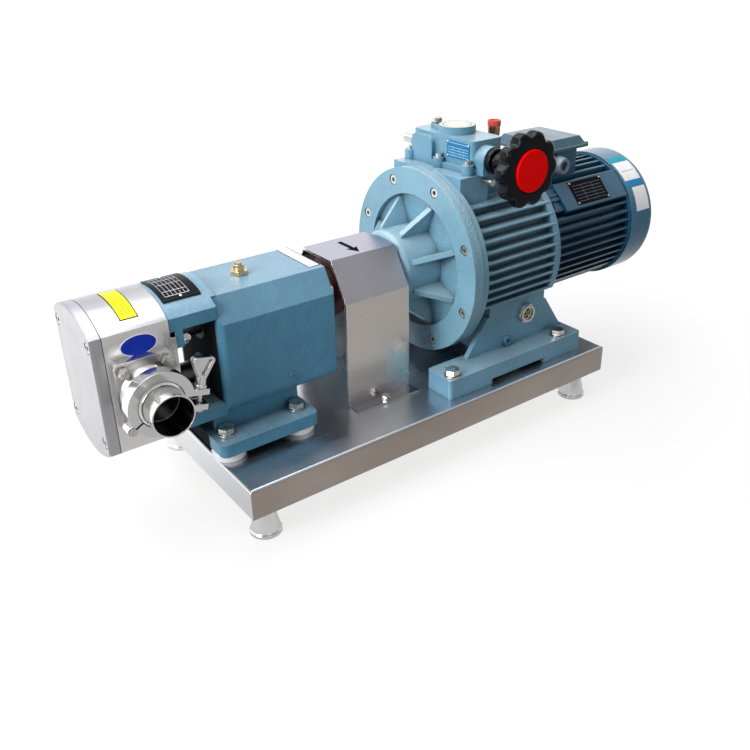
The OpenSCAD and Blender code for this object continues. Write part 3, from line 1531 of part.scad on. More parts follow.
module fan_cowl() {
  ring_n = 5;
  color(motor_blue) along_x(frame_x1 - cowl_lap, axis_z) difference() {
    rotate_extrude() difference() {
      cowl_section(0);
      cowl_section(cowl_t);
      translate([-1, -1]) square([cowl_d, 1]);
    }
    // rows of air slots in the rear face, around a closed middle
    for (k = [1 : ring_n]) for (i = [0 : 5]) rotate(i * 60)
      intersection() {
        translate([0, 0, cowl_l - 9]) ring(2 * (16 + k * 11), 2 * (10 + k * 11), 20);
        translate([0, 0, cowl_l - 9]) linear_extrude(20) sector_2d(4, 56);
      }
  }
}

module terminal_box() {
  h = box_top_z - saddle_z;
  color(motor_blue) difference() {
    translate([box_mid_x, 0, saddle_z]) linear_extrude(h) round_rect(lid_l - 24, lid_w - 24, 6);
    translate([box_mid_x, 0, saddle_z + 5]) linear_extrude(h) round_rect(lid_l - 34, lid_w - 34, 4);
    translate([box_mid_x, 0, saddle_z - 1]) cylinder(d = 30, h = 8);
    translate([gland_x, -lid_w / 2, gland_z]) rotate([-90, 0, 0]) cylinder(d = 20, h = 30);
  }
}

gland_x = box_mid_x - 18;
gland_z = box_top_z - 19;

// Lid: a flat roof with four sloping sides and a thin overhanging rim.
module terminal_lid() {
  rim = 4;
  rise = 12;
  slope = 12;
  l = lid_l / 2;
  w = lid_w / 2;
  color(motor_blue) translate([box_mid_x, 0, box_top_z]) difference() {
    union() {
      linear_extrude(rim) round_rect(lid_l, lid_w, 6);
      intersection() {
        rotate([90, 0, 0]) translate([0, rim, -w]) linear_extrude(2 * w)
          polygon([[-l + 5, -eps], [-l + slope, rise], [l - slope, rise], [l - 5, -eps]]);
        rotate([90, 0, 90]) translate([0, rim, -l]) linear_extrude(2 * l)
          polygon([[-w + 5, -eps], [-w + slope, rise], [w - slope, rise], [w - 5, -eps]]);
      }
    }
    translate([0, 0, -1]) linear_extrude(rim + rise - 3) round_rect(lid_l - 36, lid_w - 36, 4);
  }
  color(bright_steel) translate([box_mid_x, 0, box_top_z + rim]) four_corners(l - 4, w - 4)
    cylinder(d = 5, h = 2.5);
}

module cable_gland() {
  wall_y = lid_w / 2 - 12;
  color([0.45, 0.55, 0.66]) translate([gland_x, 0, gland_z]) outward(wall_y) difference() {
    union() {
      cylinder(d = 28 / cos(30), h = 8, $fn = 6);
      translate([0, 0, 7]) cylinder(d = 27, h = 12);
      translate([0, 0, 18]) cylinder(d1 = 27, d2 = 23, h = 8);
      translate([0, 0, -8]) cylinder(d = 19.6, h = 9);
    }
    translate([0, 0, -9]) cylinder(d = 14, h = 40);
  }
}

base_tray();
base_feet();
front_cover();
cover_screws();
sealing_rings();
rotor_casing();
casing_nuts();
shaft_seals();
upper_rotor();
lower_rotor();
upper_rotor_nut();
lower_rotor_nut();
port_flanges();
port_screws();
port_stubs();
clamp_halves();
clamp_bolts();
outlet_wing_nut();
inlet_wing_nut();
gear_housing();
gear_rear_cover();
drive_shaft();
driven_shaft();
drive_gear();
driven_gear();
ball_bearings();
oil_seals();
filler_plug();
drain_plugs();
mounting_pads();
foot_bolts();
pump_coupling_half();
coupling_spider();
drive_coupling_half();
coupling_guard();
guard_screws();
variator_housing();
output_cover();
housing_screws();
output_shaft();
planet_discs();
sun_discs();
pressure_rings();
control_box();
adjusting_screw();
handwheel();
handwheel_cap();
dial_glass();
dial_pointer();
breather();
breather_cap();
sight_glass();
motor_frame();
stator_core();
motor_rotor();
motor_fan();
fan_cowl();
terminal_box();
terminal_lid();
cable_gland();
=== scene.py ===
"""Looks of a stainless rotary lobe pump with its stepless variator and motor on a base tray.

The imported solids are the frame. This script gives each piece its finish, adds the labels, plates
and moulded shapes, and sets up the studio. Sizes are in metres, in the frame of the solids.
"""

import json
import math

import bpy
import numpy as np
from mathutils import Matrix, Vector

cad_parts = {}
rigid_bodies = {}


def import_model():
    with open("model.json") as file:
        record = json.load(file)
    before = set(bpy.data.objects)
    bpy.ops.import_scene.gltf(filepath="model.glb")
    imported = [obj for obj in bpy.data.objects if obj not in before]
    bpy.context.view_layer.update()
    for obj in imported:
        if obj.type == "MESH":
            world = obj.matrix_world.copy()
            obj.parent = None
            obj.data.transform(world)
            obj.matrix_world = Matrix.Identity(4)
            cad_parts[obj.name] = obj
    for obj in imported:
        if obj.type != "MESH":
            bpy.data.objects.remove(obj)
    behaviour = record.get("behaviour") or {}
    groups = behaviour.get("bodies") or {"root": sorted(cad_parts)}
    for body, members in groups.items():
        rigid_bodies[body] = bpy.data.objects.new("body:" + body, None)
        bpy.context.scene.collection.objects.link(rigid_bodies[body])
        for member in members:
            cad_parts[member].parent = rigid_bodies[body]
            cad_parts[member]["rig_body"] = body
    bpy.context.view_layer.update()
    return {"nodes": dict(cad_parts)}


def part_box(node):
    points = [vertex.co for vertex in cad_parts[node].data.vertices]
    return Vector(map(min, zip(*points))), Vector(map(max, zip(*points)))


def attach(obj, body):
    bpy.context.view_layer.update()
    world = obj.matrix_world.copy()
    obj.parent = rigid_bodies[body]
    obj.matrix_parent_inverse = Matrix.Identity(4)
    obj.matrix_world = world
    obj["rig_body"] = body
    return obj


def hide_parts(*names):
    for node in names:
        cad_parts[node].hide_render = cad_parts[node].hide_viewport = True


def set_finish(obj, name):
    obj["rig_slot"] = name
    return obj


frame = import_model()
nodes = frame["nodes"]


# Base tray: a folded tray of 3 mm stainless sheet. Its top is ground to a dark satin; the skirts keep
# the long scratches of the grinding belt. Painted reflections tint it: the skirts warmer, as they mirror
# the floor, the top cooler, as it mirrors the room, and the end that faces -X lighter, as lit by the front
# lamp.

def finish(name, colour, metallic=0.0, roughness=0.5, **sockets):
    """A new material with these constants on its shader; sockets are further inputs by name."""
    mat = bpy.data.materials.new(name)
    mat.use_nodes = True
    shader = mat.node_tree.nodes["Principled BSDF"]
    shader.inputs["Base Color"].default_value = (*colour, 1)
    shader.inputs["Metallic"].default_value = metallic
    shader.inputs["Roughness"].default_value = roughness
    for key, value in sockets.items():
        shader.inputs[key.replace("_", " ")].default_value = value
    return mat


def add(mat, kind, inputs=None, **attributes):
    """Adds a node. An input is a number or colour, or another node's output to be linked."""
    made = mat.node_tree.nodes.new(kind)
    for key, value in attributes.items():
        setattr(made, key, value)
    for key, value in (inputs or {}).items():
        if isinstance(value, bpy.types.NodeSocket):
            mat.node_tree.links.new(value, made.inputs[key])
        else:
            made.inputs[key].default_value = value
    return made


def into(mat, socket, output):
    """Links an output to a socket of the material's shader."""
    mat.node_tree.links.new(output, mat.node_tree.nodes["Principled BSDF"].inputs[socket])


def fed_by(mat, socket):
    """The output that is linked to a socket of the material's shader."""
    return mat.node_tree.nodes["Principled BSDF"].inputs[socket].links[0].from_socket


def noise(mat, scale, detail=3.0, stretch=(1, 1, 1), roughness=0.5):
    """Fractal noise on Object coordinates, in cells of 1/scale metres, drawn out by stretch."""
    place = add(mat, "ShaderNodeTexCoord").outputs["Object"]
    if stretch != (1, 1, 1):
        scaled = add(mat, "ShaderNodeMapping", {"Vector": place})
        scaled.inputs["Scale"].default_value = [1 / s for s in stretch]
        place = scaled.outputs["Vector"]
    return add(mat, "ShaderNodeTexNoise",
               {"Vector": place, "Scale": scale, "Detail": detail, "Roughness": roughness}).outputs["Fac"]


def spread(mat, value, low, high, start=0.3, end=0.7):
    """Stretches a value between start and end linearly over low to high."""
    return add(mat, "ShaderNodeMapRange", {"Value": value, "From Min": start, "From Max": end,
                                           "To Min": low, "To Max": high}).outputs["Result"]


def mottled(mat, scale, low=0.0, high=1.0, detail=3.0, stretch=(1, 1, 1)):
    """Fractal noise in cells of 1/scale metres, stretched over low to high."""
    return spread(mat, noise(mat, scale, detail, stretch), low, high)


def combined(mat, operation, first, second=0.0):
    """Two values, or the first alone, put through an arithmetic operation."""
    return add(mat, "ShaderNodeMath", {0: first, 1: second}, operation=operation).outputs[0]


def blend_colours(mat, factor, first, second, blend_type="MIX"):
    """First where the factor is 0, second where it is 1, or their product there with MULTIPLY."""
    first, second = (colour if isinstance(colour, bpy.types.NodeSocket) else (*colour, 1)
                     for colour in (first, second))
    return add(mat, "ShaderNodeMix", {0: factor, 6: first, 7: second}, data_type="RGBA",
               blend_type=blend_type).outputs[2]


def soften(mat, edge, height=None, depth=0.0):
    """Rounds the edges by edge metres in shading, and raises a relief of depth metres on them."""
    normal = add(mat, "ShaderNodeBevel", {"Radius": edge}, samples=6).outputs["Normal"]
    if height is not None:
        normal = add(mat, "ShaderNodeBump", {"Strength": 1.0, "Distance": depth, "Height": height,
                                             "Normal": normal}).outputs["Normal"]
    into(mat, "Normal", normal)


def openness(mat, reach, start, end):
    """0 deep in a hollow that is narrower than reach metres, 1 on an open face."""
    open_air = add(mat, "ShaderNodeAmbientOcclusion", {"Distance": reach}, samples=6).outputs["AO"]
    return spread(mat, open_air, 0, 1, start, end)


def shade_in_hollows(mat, colour, share=0.25, reach=0.03, end=0.6):
    """Paints shade: darkens a colour towards a share of itself in hollows that are narrower than reach
    metres.
    """
    shade = blend_colours(mat, openness(mat, reach, 0.1, end), (share,) * 3, (1, 1, 1))
    return blend_colours(mat, 1, colour, shade, "MULTIPLY")


def brushed(name, colour, roughness, stretch, scratch=0.00001, edge=0.0006, tint=0.88, reach=0.02,
            share=0.3, grain=0.08):
    """Ground metal: noise drawn out along the grinding sets the roughness, tint and relief; shade is painted
    into its hollows.
    """
    mat = finish(name, colour, 1.0, roughness)
    lines = noise(mat, 900, 4, stretch, 0.65)
    into(mat, "Roughness", combined(mat, "ADD", spread(mat, lines, -grain, grain),
                                    mottled(mat, 14, roughness - 0.05, roughness + 0.06)))
    dark = tuple(c * tint for c in colour)
    streaks = blend_colours(mat, spread(mat, lines, 0, 1), dark, colour)
    # Painted shade: the colour darkens in hollows narrower than reach.
    into(mat, "Base Color", shade_in_hollows(mat, streaks, share, reach))
    soften(mat, edge, lines if scratch else None, scratch)
    return mat


def turned_to(mat, axis, start, end):
    """Share from 0 to 1 as the face's own normal turns along an axis from start to end."""
    look = add(mat, "ShaderNodeTexCoord").outputs["Normal"]
    return spread(mat, add(mat, "ShaderNodeSeparateXYZ", {"Vector": look}).outputs[axis], 0, 1, start, end)


def toned(mat, tones):
    """Multiplies the base colour by the tones."""
    into(mat, "Base Color", blend_colours(mat, 1, fed_by(mat, "Base Color"), tones, "MULTIPLY"))


def dress(mat, *names):
    """Gives the material to these CAD nodes."""
    for name in names:
        slots = nodes[name].data.materials
        slots.clear()
        slots.append(mat)


tray_finish = brushed("tray sheet, ground", (0.60, 0.60, 0.60), 0.31, (40, 1, 1), 0.0000012, 0.0016,
                      tint=0.95, grain=0.03)
# Painted reflections: skirts warm in drawn-out patches, the top cool, the end that faces -X lighter.
skirt_painted_reflection = blend_colours(tray_finish, mottled(tray_finish, 6, stretch=(2, 1, 1)),
                           (0.60, 0.51, 0.45), (0.86, 0.76, 0.67))
tray_painted_reflection = blend_colours(tray_finish, turned_to(tray_finish, "Z", 0.3, 0.8), skirt_painted_reflection,
                          (1.02, 1.06, 1.14))
toned(tray_finish, blend_colours(tray_finish, turned_to(tray_finish, "X", -0.3, -0.8), tray_painted_reflection,
                                 (1.20, 1.21, 1.24)))
dress(tray_finish, "base_tray")


# Feet: four bell feet turned from stainless bar and polished. Each screws into a socket under the
# tray, so that the unit can be set level.

polished = finish("polished stainless", (0.84, 0.83, 0.83), 1.0, 0.10)
# Painted shade: polished steel darkens a little in its hollows.
into(polished, "Base Color", shade_in_hollows(polished, (0.84, 0.83, 0.83), 0.05, 0.03))
into(polished, "Roughness", mottled(polished, 120, 0.06, 0.18, 4))
soften(polished, 0.0006, noise(polished, 30, 3), 0.0004)
dress(polished, "base_feet")


# Gear housing: an iron casting on a pedestal, sprayed with teal enamel together with its rear cover and
# drain plugs. The wall between the arches of its neck is painted near black as shade, and is dull with oil.

def enamel(name, colour, roughness=0.32, lump=0.0006, reach=0.022, top_sheen=0.2, gloss=0.4, coat=0.25):
    """Sprayed enamel on a casting: orange peel, slow lumps of the casting, uneven colour, painted shade
    in hollows narrower than reach, and a share of pale grey painted as sheen on the faces that look up."""
    mat = finish(name, colour, 0.0, roughness, Specular_IOR_Level=gloss, Coat_Weight=coat,
                 Coat_Roughness=0.12)
    peel = mottled(mat, 260, 0, 0.00012)
    pale = tuple(min(1, c * 1.16 + 0.012) for c in colour)
    deep = tuple(c * 0.86 for c in colour)
    patches = blend_colours(mat, mottled(mat, 9, detail=4), deep, pale)
    # Painted sheen: faces that look up are blended towards pale grey by the share top_sheen.
    painted_top_sheen = combined(mat, "MULTIPLY", turned_to(mat, "Z", 0.1, 0.9), top_sheen)
    top_sheen_grey = (0.55, 0.57, 0.58)
    patches = blend_colours(mat, painted_top_sheen, patches, top_sheen_grey)
    # Painted shade: hollows narrower than reach turn dark.
    painted_hollow_shade = tuple(c * 0.22 for c in colour)
    into(mat, "Base Color", blend_colours(mat, openness(mat, reach, 0.12, 0.66), painted_hollow_shade, patches))
    into(mat, "Roughness", mottled(mat, 30, roughness - 0.06, roughness + 0.10))
    soften(mat, 0.0016, combined(mat, "ADD", mottled(mat, 45, 0, lump), peel), 1.0)
    return mat


def coordinate(mat, axis):
    """Object coordinate along an axis."""
    place = add(mat, "ShaderNodeTexCoord").outputs["Object"]
    return add(mat, "ShaderNodeSeparateXYZ", {"Vector": place}).outputs[axis]


case_paint = enamel("teal enamel", (0.070, 0.235, 0.365), 0.24, reach=0.034, top_sheen=0.22, gloss=0.3, coat=0.0)
# Painted shade: the faces that look forward between the neck's arches are painted near black.
arch_inside, arch_outside = 0.054, 0.060
off_axis = combined(case_paint, "ABSOLUTE", coordinate(case_paint, "Y"))
between_arches = spread(case_paint, off_axis, 1, 0, arch_inside, arch_outside)
neck_wall_shade_and_oil = combined(case_paint, "MULTIPLY", between_arches, turned_to(case_paint, "X", -0.4, -0.8))
toned(case_paint, blend_colours(case_paint, neck_wall_shade_and_oil, (1, 1, 1), (0.03, 0.02, 0.02)))
into(case_paint, "Roughness", combined(case_paint, "MAXIMUM", fed_by(case_paint, "Roughness"), neck_wall_shade_and_oil))
dress(case_paint, "gear_housing", "gear_rear_cover", "drain_plugs")


# Pads and bolts: four pads of white plastic keep the pedestal off the tray. Zinc plated hexagon bolts
# go through foot, pad and tray, and hold the variator's feet as well.

pad_plastic = finish("white pad plastic", (0.84, 0.85, 0.87), 0.0, 0.45)
soften(pad_plastic, 0.0006, noise(pad_plastic, 200, 2), 0.0001)
dress(pad_plastic, "mounting_pads")

zinc = finish("zinc plating", (0.66, 0.65, 0.62), 1.0, 0.28)
zinc_grey = blend_colours(zinc, mottled(zinc, 60), (0.55, 0.53, 0.49), (0.74, 0.74, 0.72))
# Painted shade in the hollows of the zinc plating.
into(zinc, "Base Color", shade_in_hollows(zinc, zinc_grey, 0.05, 0.006))
into(zinc, "Roughness", mottled(zinc, 150, 0.20, 0.38))
soften(zinc, 0.0005, noise(zinc, 300, 2), 0.00004)
dress(zinc, "foot_bolts")


# Filler plug and breather: turned from bare copper alloys, which have tarnished unevenly, and screwed
# into the roofs of the gear housing and of the variator. The breather wears a faded red cap.

def bare_alloy(name, colour, deep, bright):
    """Bare metal that has tarnished in patches, from deep to bright."""
    mat = finish(name, colour, 1.0, 0.30)
    into(mat, "Base Color", blend_colours(mat, mottled(mat, 90), deep, bright))
    soften(mat, 0.0005)
    return mat


brass = bare_alloy("bare brass", (0.66, 0.52, 0.30), (0.42, 0.30, 0.15), (0.74, 0.62, 0.40))
dress(brass, "filler_plug")
copper = bare_alloy("tarnished copper alloy", (0.50, 0.27, 0.16), (0.30, 0.15, 0.09), (0.62, 0.40, 0.26))
dress(copper, "breather")
cap_resin = finish("faded red cap", (0.62, 0.070, 0.045), 0.0, 0.42)
soften(cap_resin, 0.0006, noise(cap_resin, 120, 2), 0.0001)
dress(cap_resin, "breather_cap")


# Inside the gear housing: two shafts with timing gears, turned and ground from steel, run in ball
# bearings behind rubber seals. The shafts are oiled, and painted dark as shade where they cross the open
# neck.

# Painted shade: both steels darken deep into their hollows, and the shafts' steel is painted dark all over as
# the shade of the neck.
turned = brushed("turned steel", (0.56, 0.56, 0.57), 0.24, (1, 30, 30), tint=0.8, reach=0.06, share=0.08)
dress(turned, "drive_gear", "driven_gear", "ball_bearings")
oiled_and_shaded = brushed("shafts in the neck, oiled", (0.17, 0.165, 0.16), 0.30, (1, 30, 30), tint=0.8, reach=0.06,
                share=0.08)
dress(oiled_and_shaded, "drive_shaft", "driven_shaft", "shaft_seals")
rubber = finish("black rubber", (0.015, 0.015, 0.016), 0.0, 0.62)
soften(rubber, 0.0005, noise(rubber, 300, 2), 0.0001)
dress(rubber, "oil_seals")


# Pump head: the cast casing and its front cover are stainless, with a satin machined front and
# brushed flanks. Ports, clamps and wing nuts are polished. Two rotors turn inside.

head_steel = brushed("head, brushed", (0.88, 0.865, 0.86), 0.25, (1, 1, 25), 0.0000005, tint=0.96,
                     reach=0.03, grain=0.02)
# Painted reflection: the faces that look up are darkened in drawn-out clouds.
crown_painted_reflection = blend_colours(head_steel, mottled(head_steel, 16, stretch=(3, 1, 1)),
                             (0.38, 0.38, 0.42), (0.57, 0.57, 0.60))
toned(head_steel, blend_colours(head_steel, turned_to(head_steel, "Z", 0.3, 0.8), (1, 1, 1), crown_painted_reflection))
dress(head_steel, "rotor_casing")

cover_steel = finish("front cover, satin", (0.50, 0.495, 0.51), 1.0, 0.38)
into(cover_steel, "Roughness", mottled(cover_steel, 40, 0.30, 0.46, 4))
# Painted shade in the cover's hollows, and a painted cool, darker reflection on the faces that look up.
into(cover_steel, "Base Color", shade_in_hollows(cover_steel, (0.50, 0.495, 0.51), 0.1, 0.006))
toned(cover_steel, blend_colours(cover_steel, turned_to(cover_steel, "Z", 0.3, 0.8), (0.96, 0.96, 0.96),
                                 (0.72, 0.73, 0.80)))
soften(cover_steel, 0.0012, noise(cover_steel, 500, 3), 0.00003)
dress(cover_steel, "front_cover")

flange_steel = brushed("port flanges, ground", (0.80, 0.79, 0.78), 0.27, (6, 1, 6), 0.0000005, share=0.05,
                       reach=0.03, grain=0.03)
dress(flange_steel, "port_flanges")
tube_steel = finish("polished tube, dark inside", (0.88, 0.87, 0.86), 1.0, 0.12)
# Painted shade: deep inside the bore the polished tube turns nearly black.
into(tube_steel, "Base Color", shade_in_hollows(tube_steel, (0.88, 0.87, 0.86), 0.02, 0.11, 0.8))
into(tube_steel, "Roughness", mottled(tube_steel, 120, 0.08, 0.20, 4))
soften(tube_steel, 0.0006)
dress(tube_steel, "port_stubs")

dress(polished, "casing_nuts", "clamp_halves", "outlet_wing_nut", "inlet_wing_nut")
dress(zinc, "cover_screws", "port_screws", "clamp_bolts")
dress(turned, "upper_rotor", "lower_rotor", "upper_rotor_nut", "lower_rotor_nut")
dress(pad_plastic, "sealing_rings")


# Signs on the pump head: a printed oval beside the outlet, a yellow strip wrapped over the casing's
# top, and a black enamelled plate riveted to the neck. They are bare or hold only ruled lines.

# How far a film, plate or rivet reaches into the face that it lies on.
seat = 0.0003


def loft(name, rings, mat, body, slot, smooth=True):
    """Closed skin over an array of rings (ring, point, 3): quads between the rings, a cap on each end."""
    count, size = rings.shape[:2]
    at = np.arange(count * size).reshape(count, size)
    turn = np.roll(at, -1, axis=1)
    quads = np.stack([at[:-1], turn[:-1], turn[1:], at[1:]], axis=-1).reshape(-1, 4).tolist()
    mesh = bpy.data.meshes.new(name)
    mesh.from_pydata(rings.reshape(-1, 3).tolist(), [], [at[0][::-1].tolist(), *quads, at[-1].tolist()])
    mesh.polygons.foreach_set("use_smooth", [smooth] * len(mesh.polygons))
    mesh.materials.append(mat)
    piece = bpy.data.objects.new(name, mesh)
    bpy.context.scene.collection.objects.link(piece)
    if smooth:
        mesh.set_sharp_from_angle(angle=math.radians(35))
    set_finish(piece, slot)
    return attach(piece, body)


def joined(name, parts):
    """One piece made of several closed parts, with the material, slot and body of the first."""
    rows, faces, start = [], [], 0
    for part in parts:
        mesh = part.data
        spots = np.empty(len(mesh.vertices) * 3)
        mesh.vertices.foreach_get("co", spots)
        rows.append(spots.reshape(-1, 3))
        faces += [[start + v for v in face.vertices] for face in mesh.polygons]
        start += len(mesh.vertices)
    mesh = bpy.data.meshes.new(name)
    mesh.from_pydata(np.concatenate(rows).tolist(), [], faces)
    mesh.polygons.foreach_set("use_smooth", [True] * len(mesh.polygons))
    mesh.set_sharp_from_angle(angle=math.radians(35))
    mesh.materials.append(parts[0].data.materials[0])
    piece = bpy.data.objects.new(name, mesh)
    bpy.context.scene.collection.objects.link(piece)
    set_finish(piece, parts[0]["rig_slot"])
    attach(piece, parts[0]["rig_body"])
    for part in parts:
        bpy.data.objects.remove(part)
    return piece


def facing(origin, across, upward):
    """Place on a flat face: maps (u, v, w) to origin + u across + v upward + w along the normal."""
    origin, across, upward = (np.asarray(a, float) for a in (origin, across, upward))
    normal = np.cross(across, upward)
    return lambda u, v, w: origin + u[..., None] * across + v[..., None] * upward + w[..., None] * normal


def wrapped(axis_y, axis_z, radius):
    """Place on a round face about a line along X: u is X, v the angle from +Y, w the height above it."""
    def place(u, v, w):
        y = axis_y + (radius + w) * np.cos(v)
        z = axis_z + (radius + w) * np.sin(v)
        return np.stack(np.broadcast_arrays(u, y, z), axis=-1)
    return place


def panel(name, place, u, v, height, mat, slot, steps=1):
    """Thin plate over the ranges u and v of a place, bent in as many steps along v as are given. Its
    section along u is a flat bar with broken edges, from seat below the face to height above it."""
    edge = 0.3 * height
    across = np.array([u[0], u[0], u[0] + edge, u[1] - edge, u[1], u[1]])
    above = np.array([-seat, height - edge, height, height, height - edge, -seat])
    along = np.linspace(*v, steps + 1)[:, None]
    rings = place(np.broadcast_to(across, (steps + 1, 6)), np.broadcast_to(along, (steps + 1, 6)),
                  np.broadcast_to(above, (steps + 1, 6)))
    return loft(name, rings, mat, "frame", slot)


def bars(place, spans, height, mat, slot, steps=1):
    """Thin bars of ink or bare metal over spans, each a range of u and a range of v of the place."""
    return [panel("line", place, u, v, height, mat, slot, steps) for u, v in spans]


def disc(name, place, centre, half, height, mat, slot, sides=64, dome=0.0):
    """Round or oval plate with half-widths half about centre, its edge broken and its top domed."""
    turn = np.linspace(0, 2 * np.pi, sides, endpoint=False)
    shrink = np.array([1, 1, 0.97, 0.8, 0.45, 0.02])[:, None]
    rise = np.array([-seat, 0.7 * height, height, height, height, height])[:, None]
    rings = place(centre[0] + half[0] * shrink * np.cos(turn), centre[1] + half[1] * shrink * np.sin(turn),
                  rise + dome * (1 - shrink ** 2) + 0 * turn)
    return loft(name, rings, mat, "frame", slot)


def rivets(name, place, spots, half, height, dome, sides=20):
    """Polished rivet heads at the spots of a place: domed discs with half-widths half."""
    return joined(name, [disc("rivet", place, spot, half, height, polished, "polished_steel", sides, dome)
                         for spot in spots])


def print_ink(name, colour, roughness=0.35, gloss=0.12):
    """Printed film: a flat colour with a faint unevenness of the ink."""
    mat = finish(name, colour, 0.0, roughness, Specular_IOR_Level=gloss)
    pale = tuple(min(1, c * 1.12 + 0.01) for c in colour)
    into(mat, "Base Color", blend_colours(mat, mottled(mat, 70), colour, pale))
    return mat


casing_low, casing_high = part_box("rotor_casing")
casing_rise = 0.020
casing_round = (casing_high.y ** 2 + casing_rise ** 2) / (2 * casing_rise)
casing_top = wrapped(0, casing_high.z - casing_round, casing_round)
casing_flank = facing((0, casing_low.y, 0), (1, 0, 0), (0, 0, 1))

blue_ink = print_ink("deep blue print", (0.002, 0.028, 0.400))
white_ink = print_ink("white print", (0.92, 0.92, 0.93))
black_ink = print_ink("black print", (0.006, 0.006, 0.008), 0.5, 0.0)
yellow_ink = print_ink("yellow print", (0.83, 0.83, 0.01))
black_enamel = finish("black enamelled plate", (0.002, 0.003, 0.005), 0.0, 0.3, Specular_IOR_Level=0.06)
into(black_enamel, "Roughness", mottled(black_enamel, 60, 0.22, 0.42))
bright_line = finish("etched lines", (0.55, 0.57, 0.60), 0.6, 0.4)

oval_at = (-0.4135, 0.2722)
disc("outlet_sign_edge", casing_flank, oval_at, (0.0222, 0.0130), 0.0003, white_ink, "white_plastic")
disc("outlet_sign", casing_flank, oval_at, (0.0210, 0.0119), 0.0005, blue_ink, "white_plastic")

strip_x = (-0.4258, -0.4036)
strip_turn = np.radians((117.0, 80.0))
strip_edge = 0.0013
panel("casing_strip_edge", casing_top, strip_x, strip_turn, 0.0003, black_ink, "white_plastic", 24)
panel("casing_strip", casing_top, (strip_x[0] + strip_edge, strip_x[1] - strip_edge),
      strip_turn + np.array([-1, 1]) * strip_edge / casing_round, 0.0005, yellow_ink, "white_plastic", 24)
strip_rows = [((strip_x[0] + along, strip_x[0] + along + 0.0007), np.radians((start, end)))
              for along, start, end in ((0.0060, 114.5, 83.0), (0.0105, 114.5, 95.0), (0.0150, 111.0, 83.0))]
joined("casing_strip_lines", bars(casing_top, strip_rows, 0.0006, black_ink, "white_plastic", 12))

plate_x = (-0.3700, -0.3215)
row_x, row_gap = plate_x[0] + 0.0060, 0.0051
panel("head_plate", casing_top, plate_x, np.radians((112.0, 76.0)), 0.0010, black_enamel, "black_plastic", 24)
plate_rows = [((row_x + row * row_gap, row_x + row * row_gap + 0.0006), np.radians((108.0, 80.0)))
              for row in range(7)]
plate_columns = [((row_x, row_x + 0.0312), np.radians((turn, turn - 0.35)))
                 for turn in (108.0, 103.0, 94.0, 87.0, 80.3)]
joined("head_plate_lines", bars(casing_top, plate_rows, 0.0013, bright_line, "black_plastic", 18)
       + bars(casing_top, plate_columns, 0.0013, bright_line, "black_plastic"))
rivets("head_plate_rivets", casing_top, [(sum(plate_x) / 2, turn) for turn in np.radians((109.8, 78.0))],
       (0.0018, 0.0018 / casing_round), 0.0016, 0.0008, 24)


# Coupling: two cast claw halves painted dark red, with a rubber spider between them. The guard over
# it is stainless sheet folded to a satin roof with sloping shoulders, and screwed to the tray. Painted
# reflections tint the guard: its flanks warm, its shoulders cool and its roof darker and bluish.

coupling_red = enamel("dark red coupling paint", (0.16, 0.018, 0.022), 0.4)
dress(coupling_red, "pump_coupling_half", "drive_coupling_half")
dress(rubber, "coupling_spider")

guard_finish = brushed("guard sheet, satin", (0.66, 0.65, 0.65), 0.25, (1, 40, 40), 0, 0.0008,
                       tint=0.985, grain=0.01)
# Painted reflections: flanks warm, shoulders cool, roof darker and bluish.
guard_painted_reflection = blend_colours(guard_finish, turned_to(guard_finish, "Z", 0.2, 0.6), (1.14, 1.08, 1.01),
                              (1.02, 1.03, 1.16))
toned(guard_finish, blend_colours(guard_finish, turned_to(guard_finish, "Z", 0.80, 0.95), guard_painted_reflection,
                                  (0.60, 0.61, 0.72)))
dress(guard_finish, "coupling_guard")
dress(zinc, "guard_screws")


# Markings along the top: a white strip on the gear housing's roof and, on the guard, a black arrow
# that shows which way the shaft turns. Both are stuck on.

roof_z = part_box("gear_rear_cover")[1].z + 0.004
gear_roof = facing((0, 0, roof_z), (1, 0, 0), (0, 1, 0))
panel("roof_strip_edge", gear_roof, (-0.1680, -0.1512), (-0.0378, 0.0468), 0.0004, black_ink, "white_plastic")
panel("roof_strip", gear_roof, (-0.1668, -0.1524), (-0.0366, 0.0456), 0.0006, white_ink, "white_plastic")

guard_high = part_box("coupling_guard")[1]
guard_roof = facing((-0.0822, 0, guard_high.z), (1, 0, 0), (0, 1, 0))
arrow_half, barb, neck_y, tail_y, tip_y = 0.0030, 0.0086, -0.0100, 0.0200, -0.0290
arrow_u = np.array([0, barb, arrow_half, arrow_half, -arrow_half, -arrow_half, -barb])
arrow_v = np.array([tip_y, neck_y, neck_y - 0.0025, tail_y, tail_y, neck_y - 0.0025, neck_y])
arrow_rise = np.array([[-seat], [0.0003]])
loft("turning_arrow", guard_roof(*np.broadcast_arrays(arrow_u, arrow_v, arrow_rise)), black_ink, "frame",
     "black_plastic", smooth=False)


# Variator: the finned housing and the control box are fairly smooth castings, sprayed pale blue. The
# output cover has a machined rim, and its dished web is as rough as the sand mould left it.

variator_paint = enamel("pale blue enamel", (0.128, 0.305, 0.425), 0.30, top_sheen=0.26)
dress(variator_paint, "variator_housing", "control_box")

rough_paint = enamel("pale blue enamel on rough casting", (0.170, 0.352, 0.460), 0.26, lump=0.0002, top_sheen=0.26)
rim_face = 0.0350
behind_rim = spread(rough_paint, coordinate(rough_paint, "X"), 0, 1, rim_face, rim_face + 0.0020)
grit = combined(rough_paint, "MULTIPLY", behind_rim, mottled(rough_paint, 380, detail=2))
into(rough_paint, "Normal", add(rough_paint, "ShaderNodeBump", {
    "Strength": 1.0, "Distance": 0.0007, "Height": grit,
    "Normal": fed_by(rough_paint, "Normal")}).outputs["Normal"])
dress(rough_paint, "output_cover")
dress(zinc, "housing_screws")


# Inside the variator: planet discs on the output shaft's carrier run between sun discs of ground
# steel. Rings of bare cast iron press them together.

